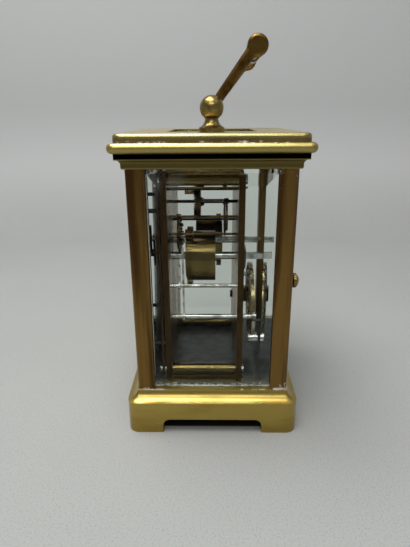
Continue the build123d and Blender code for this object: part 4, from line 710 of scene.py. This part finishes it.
for side in (-0.5, 0.5):
    line = track.node("GeometryNodeCurvePrimitiveCircle", None, {
        "Resolution": 96, "Radius": size["Radius"] + size["Length"] * side,
    })
    rings.append(track.node("GeometryNodeCurveToMesh", None, {
        "Curve": line, "Profile Curve": thin,
    }))
joined = track.tree.nodes.new("GeometryNodeJoinGeometry")
for part in (bars, *rings):
    track.tree.links.new(part.socket, joined.inputs[0])
upright = track.node("GeometryNodeTransform", None, {
    "Geometry": Value(track, joined.outputs[0]), "Translation": size["Place"],
    "Rotation": (math.pi / 2, 0, 0),
})
track.end(upright, dial_paint)
minute_track = track.grow("minute_track", {
    "Strokes": 60, "Radius": 0.0243, "Length": 0.0014, "Width": 0.00018, "Depth": PAINT_DEPTH,
    "Place": dial_middle,
})
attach(minute_track, "case")

# %% [markdown]
# The hour figures could be text from a font, but they are drawn in strokes, as a dial painter draws
# them: one thick and one thin stroke to a letter, with fine feet. The table gives each letter's
# width and its strokes, in parts of its height.

# %% The letters
THICK = 0.17
FINE = 0.06
LETTERS = {
    "I": (0.36, (
        ((0.18, 0), (0.18, 1), THICK),
        ((0.02, 0), (0.34, 0), FINE),
        ((0.02, 1), (0.34, 1), FINE),
    )),
    "V": (0.70, (
        ((0.12, 1), (0.36, 0), THICK),
        ((0.36, 0), (0.60, 1), FINE),
        ((0.00, 1), (0.26, 1), FINE),
        ((0.48, 1), (0.72, 1), FINE),
    )),
    "X": (0.70, (
        ((0.12, 1), (0.60, 0), THICK),
        ((0.12, 0), (0.60, 1), FINE),
        ((0.00, 1), (0.26, 1), FINE),
        ((0.48, 1), (0.72, 1), FINE),
        ((0.00, 0), (0.24, 0), FINE),
        ((0.46, 0), (0.72, 0), FINE),
    )),
}


def add_stroke(mesh, start, stop, width, to_dial):
    """A thin bar of paint from start to stop. to_dial puts a flat point on the dial."""
    run = Vector((stop[0] - start[0], stop[1] - start[1])).normalized()
    side = Vector((-run.y, run.x)) * width / 2
    reach = run * FINE / 2
    corners = []
    for point, along in ((start, -reach), (stop, reach)):
        for across in (side, -side):
            corners.append(Vector(point) + along + across)
    corners = [corners[0], corners[1], corners[3], corners[2]]
    front = [mesh.verts.new(to_dial(corner, PAINT_DEPTH)) for corner in corners]
    back = [mesh.verts.new(to_dial(corner, 0.0)) for corner in corners]
    mesh.faces.new(front)
    mesh.faces.new(back[::-1])
    for step in range(4):
        mesh.faces.new((front[step], back[step], back[step - 3], front[step - 3]))


print("letters:", ", ".join(LETTERS))

# %% [markdown]
# Twelve figures stand round the dial, each with its foot towards the centre. A figure's letters are
# set side by side about its middle, and every stroke goes straight to its place on the dial.

# %% The hour figures
FIGURES = ("I", "II", "III", "IIII", "V", "VI", "VII", "VIII", "IX", "X", "XI", "XII")
FIGURE_HEIGHT = 0.0050
FIGURE_RADIUS = 0.0196
HOUR_DEGREES = 30

figures = bmesh.new()
for hour, figure in enumerate(FIGURES, 1):
    angle = math.radians(HOUR_DEGREES * hour)
    outward = Vector((math.sin(angle), 0, math.cos(angle)))
    along = Vector((math.cos(angle), 0, -math.sin(angle)))
    centre = dial_middle + outward * FIGURE_RADIUS
    start = -sum(LETTERS[letter][0] for letter in figure) / 2
    for letter in figure:
        width, strokes = LETTERS[letter]

        def to_dial(point, lift, left=start):
            flat = along * (left + point.x) + outward * (point.y - 0.5)
            return centre + flat * FIGURE_HEIGHT + Vector((0, -lift, 0))

        for stroke in strokes:
            add_stroke(figures, *stroke, to_dial)
        start += width
bmesh.ops.recalc_face_normals(figures, faces=figures.faces)
figure_data = bpy.data.meshes.new("hour_figures")
figures.to_mesh(figure_data)
figures.free()
hour_figures = bpy.data.objects.new("hour_figures", figure_data)
scene.collection.objects.link(hour_figures)
figure_data.materials.append(dial_paint)
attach(hour_figures, "case")
print("strokes painted:", len(figure_data.polygons) // 6)

# %% [markdown]
# Every screw on the clock has a slot that a driver has worn. The solids give each screw a plain
# head, so a slot is laid across it: a thin dark bar, turned at random as a fitter leaves it. The
# pattern puts one bar on each point that it is given, facing out of the head.

# %% A slot for a screw
slot_dark = steel("slot_dark", linear(34, 30, 26), linear(20, 18, 16), 0.5)
cuts = Pattern("screw_slots", {
    "Length": "Float", "Width": "Float", "Depth": "Float", "Facing": "Vector", "Seed": "Int",
})
size = cuts.size
facing = cuts.node("FunctionNodeAlignRotationToVector", {"axis": "Z"}, {"Vector": size["Facing"]})
chance = cuts.node("FunctionNodeRandomValue", {"data_type": "FLOAT"}, {
    2: 0.0, 3: math.pi, "Seed": size["Seed"],
}, 1)
turn = cuts.node("FunctionNodeEulerToRotation", None, {0: cuts.combine(0.0, 0.0, chance)})
turned = cuts.node("FunctionNodeRotateRotation", {"rotation_space": "LOCAL"}, {0: facing, 1: turn})
cut = cuts.node("GeometryNodeMeshCube", None, {
    "Size": cuts.combine(size["Length"], size["Width"], size["Depth"]),
})
laid = cuts.node("GeometryNodeInstanceOnPoints", None, {
    "Points": size["Geometry"], "Instance": cut, "Rotation": turned,
})
cuts.end(laid, slot_dark)
print("slot nodes:", len(cuts.tree.nodes))

# %% [markdown]
# All screws of a kind are one object, so the middle of each head has to be found. Vertices that are
# joined by edges belong to one screw, and its box gives the end where its head is. Its head faces
# away from the middle of the clock, towards it, or one fixed way.

# %% Where the screws are
def solid_boxes(name):
    """The lowest and highest corner of each separate solid of a node."""
    mesh = bmesh.new()
    mesh.from_mesh(nodes[name].data)
    bmesh.ops.remove_doubles(mesh, verts=mesh.verts, dist=1e-6)
    waiting = set(mesh.verts)
    boxes = []
    for first in mesh.verts:
        if first not in waiting:
            continue
        waiting.remove(first)
        edge = [first]
        found = []
        while edge:
            vertex = edge.pop()
            found.append(vertex.co.copy())
            for link in vertex.link_edges:
                other = link.other_vert(vertex)
                if other in waiting:
                    waiting.remove(other)
                    edge.append(other)
        low = Vector(min(point[axis] for point in found) for axis in range(3))
        high = Vector(max(point[axis] for point in found) for axis in range(3))
        boxes.append((low, high))
    mesh.free()
    return boxes


def head_points(name, axis, way, side):
    """The middle of each head of a node's screws that faces one side along an axis."""
    points = []
    for low, high in solid_boxes(name):
        middle = (low + high) / 2
        outward = math.copysign(1, middle[axis])
        faces = {"away": outward, "towards": -outward}.get(way, way)
        if faces == side:
            middle[axis] = high[axis] if side > 0 else low[axis]
            points.append(middle)
    return points


print("plate screws:", len(solid_boxes("plate_screws")))

# %% [markdown]
# Each row of the table is one kind of screw: its node, the axis it lies along, the way its head
# faces, the length of its slot, and the seed that turns its slots.

# %% Lay the slots
X_AXIS, Y_AXIS, Z_AXIS = range(3)
SLOT_DEPTH = 0.00006
SLOT_SHARE = 0.18
HEADS = (
    ("plate_screws", Y_AXIS, "away", 0.0030, 5),
    ("platform_screws", Z_AXIS, 1, 0.0020, 11),
    ("case_screws", Z_AXIS, -1, 0.0046, 17),
    ("movement_screws", Z_AXIS, -1, 0.0030, 23),
    ("handle_screws", X_AXIS, "towards", 0.0040, 31),
)
for name, axis, way, length, seed in HEADS:
    for side, label in ((-1, "low"), (1, "high")):
        points = head_points(name, axis, way, side)
        if not points:
            continue
        towards = Vector((0, 0, 0))
        towards[axis] = side
        piece = cuts.grow(f"{name}_slots_{label}", {
            "Length": length, "Width": length * SLOT_SHARE, "Depth": SLOT_DEPTH,
            "Facing": towards, "Seed": seed,
        }, points)
        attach(piece, "case")

# %% [markdown]
# The clock stands on a grey sheet that curves up all round it, near behind and further away on the
# other sides, so every view has the same plain ground. It could be a floor and a wall, but the join
# would show. The floor is a flat oval, and rings of points above it make the curve and the wall.

# %% The shape of the sheet
SHEET_BEHIND = 0.41
SHEET_AHEAD = 0.95
SHEET_SIDES = 0.90
SHEET_RISE = 0.14
SHEET_HEIGHT = 0.80
SHEET_STEPS = 12
SHEET_POINTS = 72


def sheet_mesh():
    rows = []
    for step in range(SHEET_STEPS + 1):
        angle = math.pi / 2 * step / SHEET_STEPS
        rows.append((SHEET_RISE * (1 - math.sin(angle)), SHEET_RISE * (1 - math.cos(angle))))
    rows.append((0.0, SHEET_HEIGHT))
    middle = (SHEET_AHEAD - SHEET_BEHIND) / 2
    reach = (SHEET_AHEAD + SHEET_BEHIND) / 2
    mesh = bmesh.new()
    rings = []
    for inset, height in rows:
        ring = []
        for point in range(SHEET_POINTS):
            turn = 2 * math.pi * point / SHEET_POINTS
            x = middle + (reach - inset) * math.cos(turn)
            y = (SHEET_SIDES - inset) * math.sin(turn)
            ring.append(mesh.verts.new((x, y, height)))
        rings.append(ring)
    mesh.faces.new(rings[0])
    for lower, upper in zip(rings, rings[1:]):
        for point in range(SHEET_POINTS):
            corners = (lower[point], lower[point - 1], upper[point - 1], upper[point])
            wall = mesh.faces.new(corners)
            wall.smooth = True
    data = bpy.data.meshes.new("studio_sheet")
    mesh.to_mesh(data)
    mesh.free()
    return data


sheet_data = sheet_mesh()
print("sheet faces:", len(sheet_data.polygons))

# %% [markdown]
# The sheet is matt, with fine specks and a few darker flecks on the floor. Right under the base no
# light reaches it, so it is dark there.

# %% The finish of the sheet
FLOOR_TOP = 0.08
UNDER_INSET = 0.0036


def grey_sheet():
    finish = Finish("grey_sheet")
    specks = finish.noise(1500.0, detail=2.0)
    clouds = finish.noise(9.0, detail=3.0)
    flecks = finish.noise(420.0, detail=1.0)
    floor = finish.z.between(FLOOR_TOP, 0.0)
    under = inside(finish, base_high, UNDER_INSET, soft=0.0008)
    grey = finish.blend(clouds, linear(159, 160, 157), linear(169, 170, 166))
    grey = finish.blend(floor, linear(181, 182, 181), grey)
    grey = finish.blend(specks.between(0.48, 0.72) * floor * 0.45, grey, linear(128, 129, 128))
    grey = finish.blend(flecks.between(0.76, 0.80) * floor * 0.4, grey, linear(110, 108, 104))
    grey = finish.blend(under * floor, grey, linear(6, 6, 6))
    return finish.surface(finish.shader({"Base Color": grey, "Roughness": 0.8}))


sheet_data.materials.append(grey_sheet())
sheet = bpy.data.objects.new("studio_sheet", sheet_data)
scene.collection.objects.link(sheet)
print("floor from x", -SHEET_BEHIND, "to", SHEET_AHEAD)

# %% [markdown]
# The light is soft, as from large windows: a wide panel overhead, a narrow one above the camera for
# the bright line on the drum, and a sky that is brighter overhead. A lamp without size would be
# simpler, but polished brass would show it as a hard spot.

# %% The light
LIGHT_AIM = (0, -0.02, 0.06)
SKY_TINT = (0.97, 0.98, 1.0, 1.0)
SKY_LOW = 0.28
SKY_GAIN = 0.42


def panel(name, place, size, power):
    data = bpy.data.lights.new(name, "AREA")
    data.shape = "RECTANGLE"
    data.size = size[0]
    data.size_y = size[1]
    data.energy = power
    light = bpy.data.objects.new(name, data)
    light.location = place
    light.rotation_euler = (Vector(LIGHT_AIM) - Vector(place)).to_track_quat("-Z", "Y").to_euler()
    scene.collection.objects.link(light)


panel("overhead_panel", (0.06, -0.12, 0.64), (0.50, 0.32), 3.6)
panel("front_panel", (0.60, -0.06, 0.60), (0.50, 0.14), 1.0)

world = bpy.data.worlds.new("studio")
scene.world = world
world.use_nodes = True
sky = Nodes(world.node_tree)
height = sky.split(sky.node("ShaderNodeTexCoord", output="Generated"))[2]
background = world.node_tree.nodes["Background"]
background.inputs["Color"].default_value = SKY_TINT
sky.feed(background.inputs["Strength"], height.between(-0.1, 0.9) * SKY_GAIN + SKY_LOW)
scene.view_settings.view_transform = "Standard"
print("lamps:", len(bpy.data.lights))
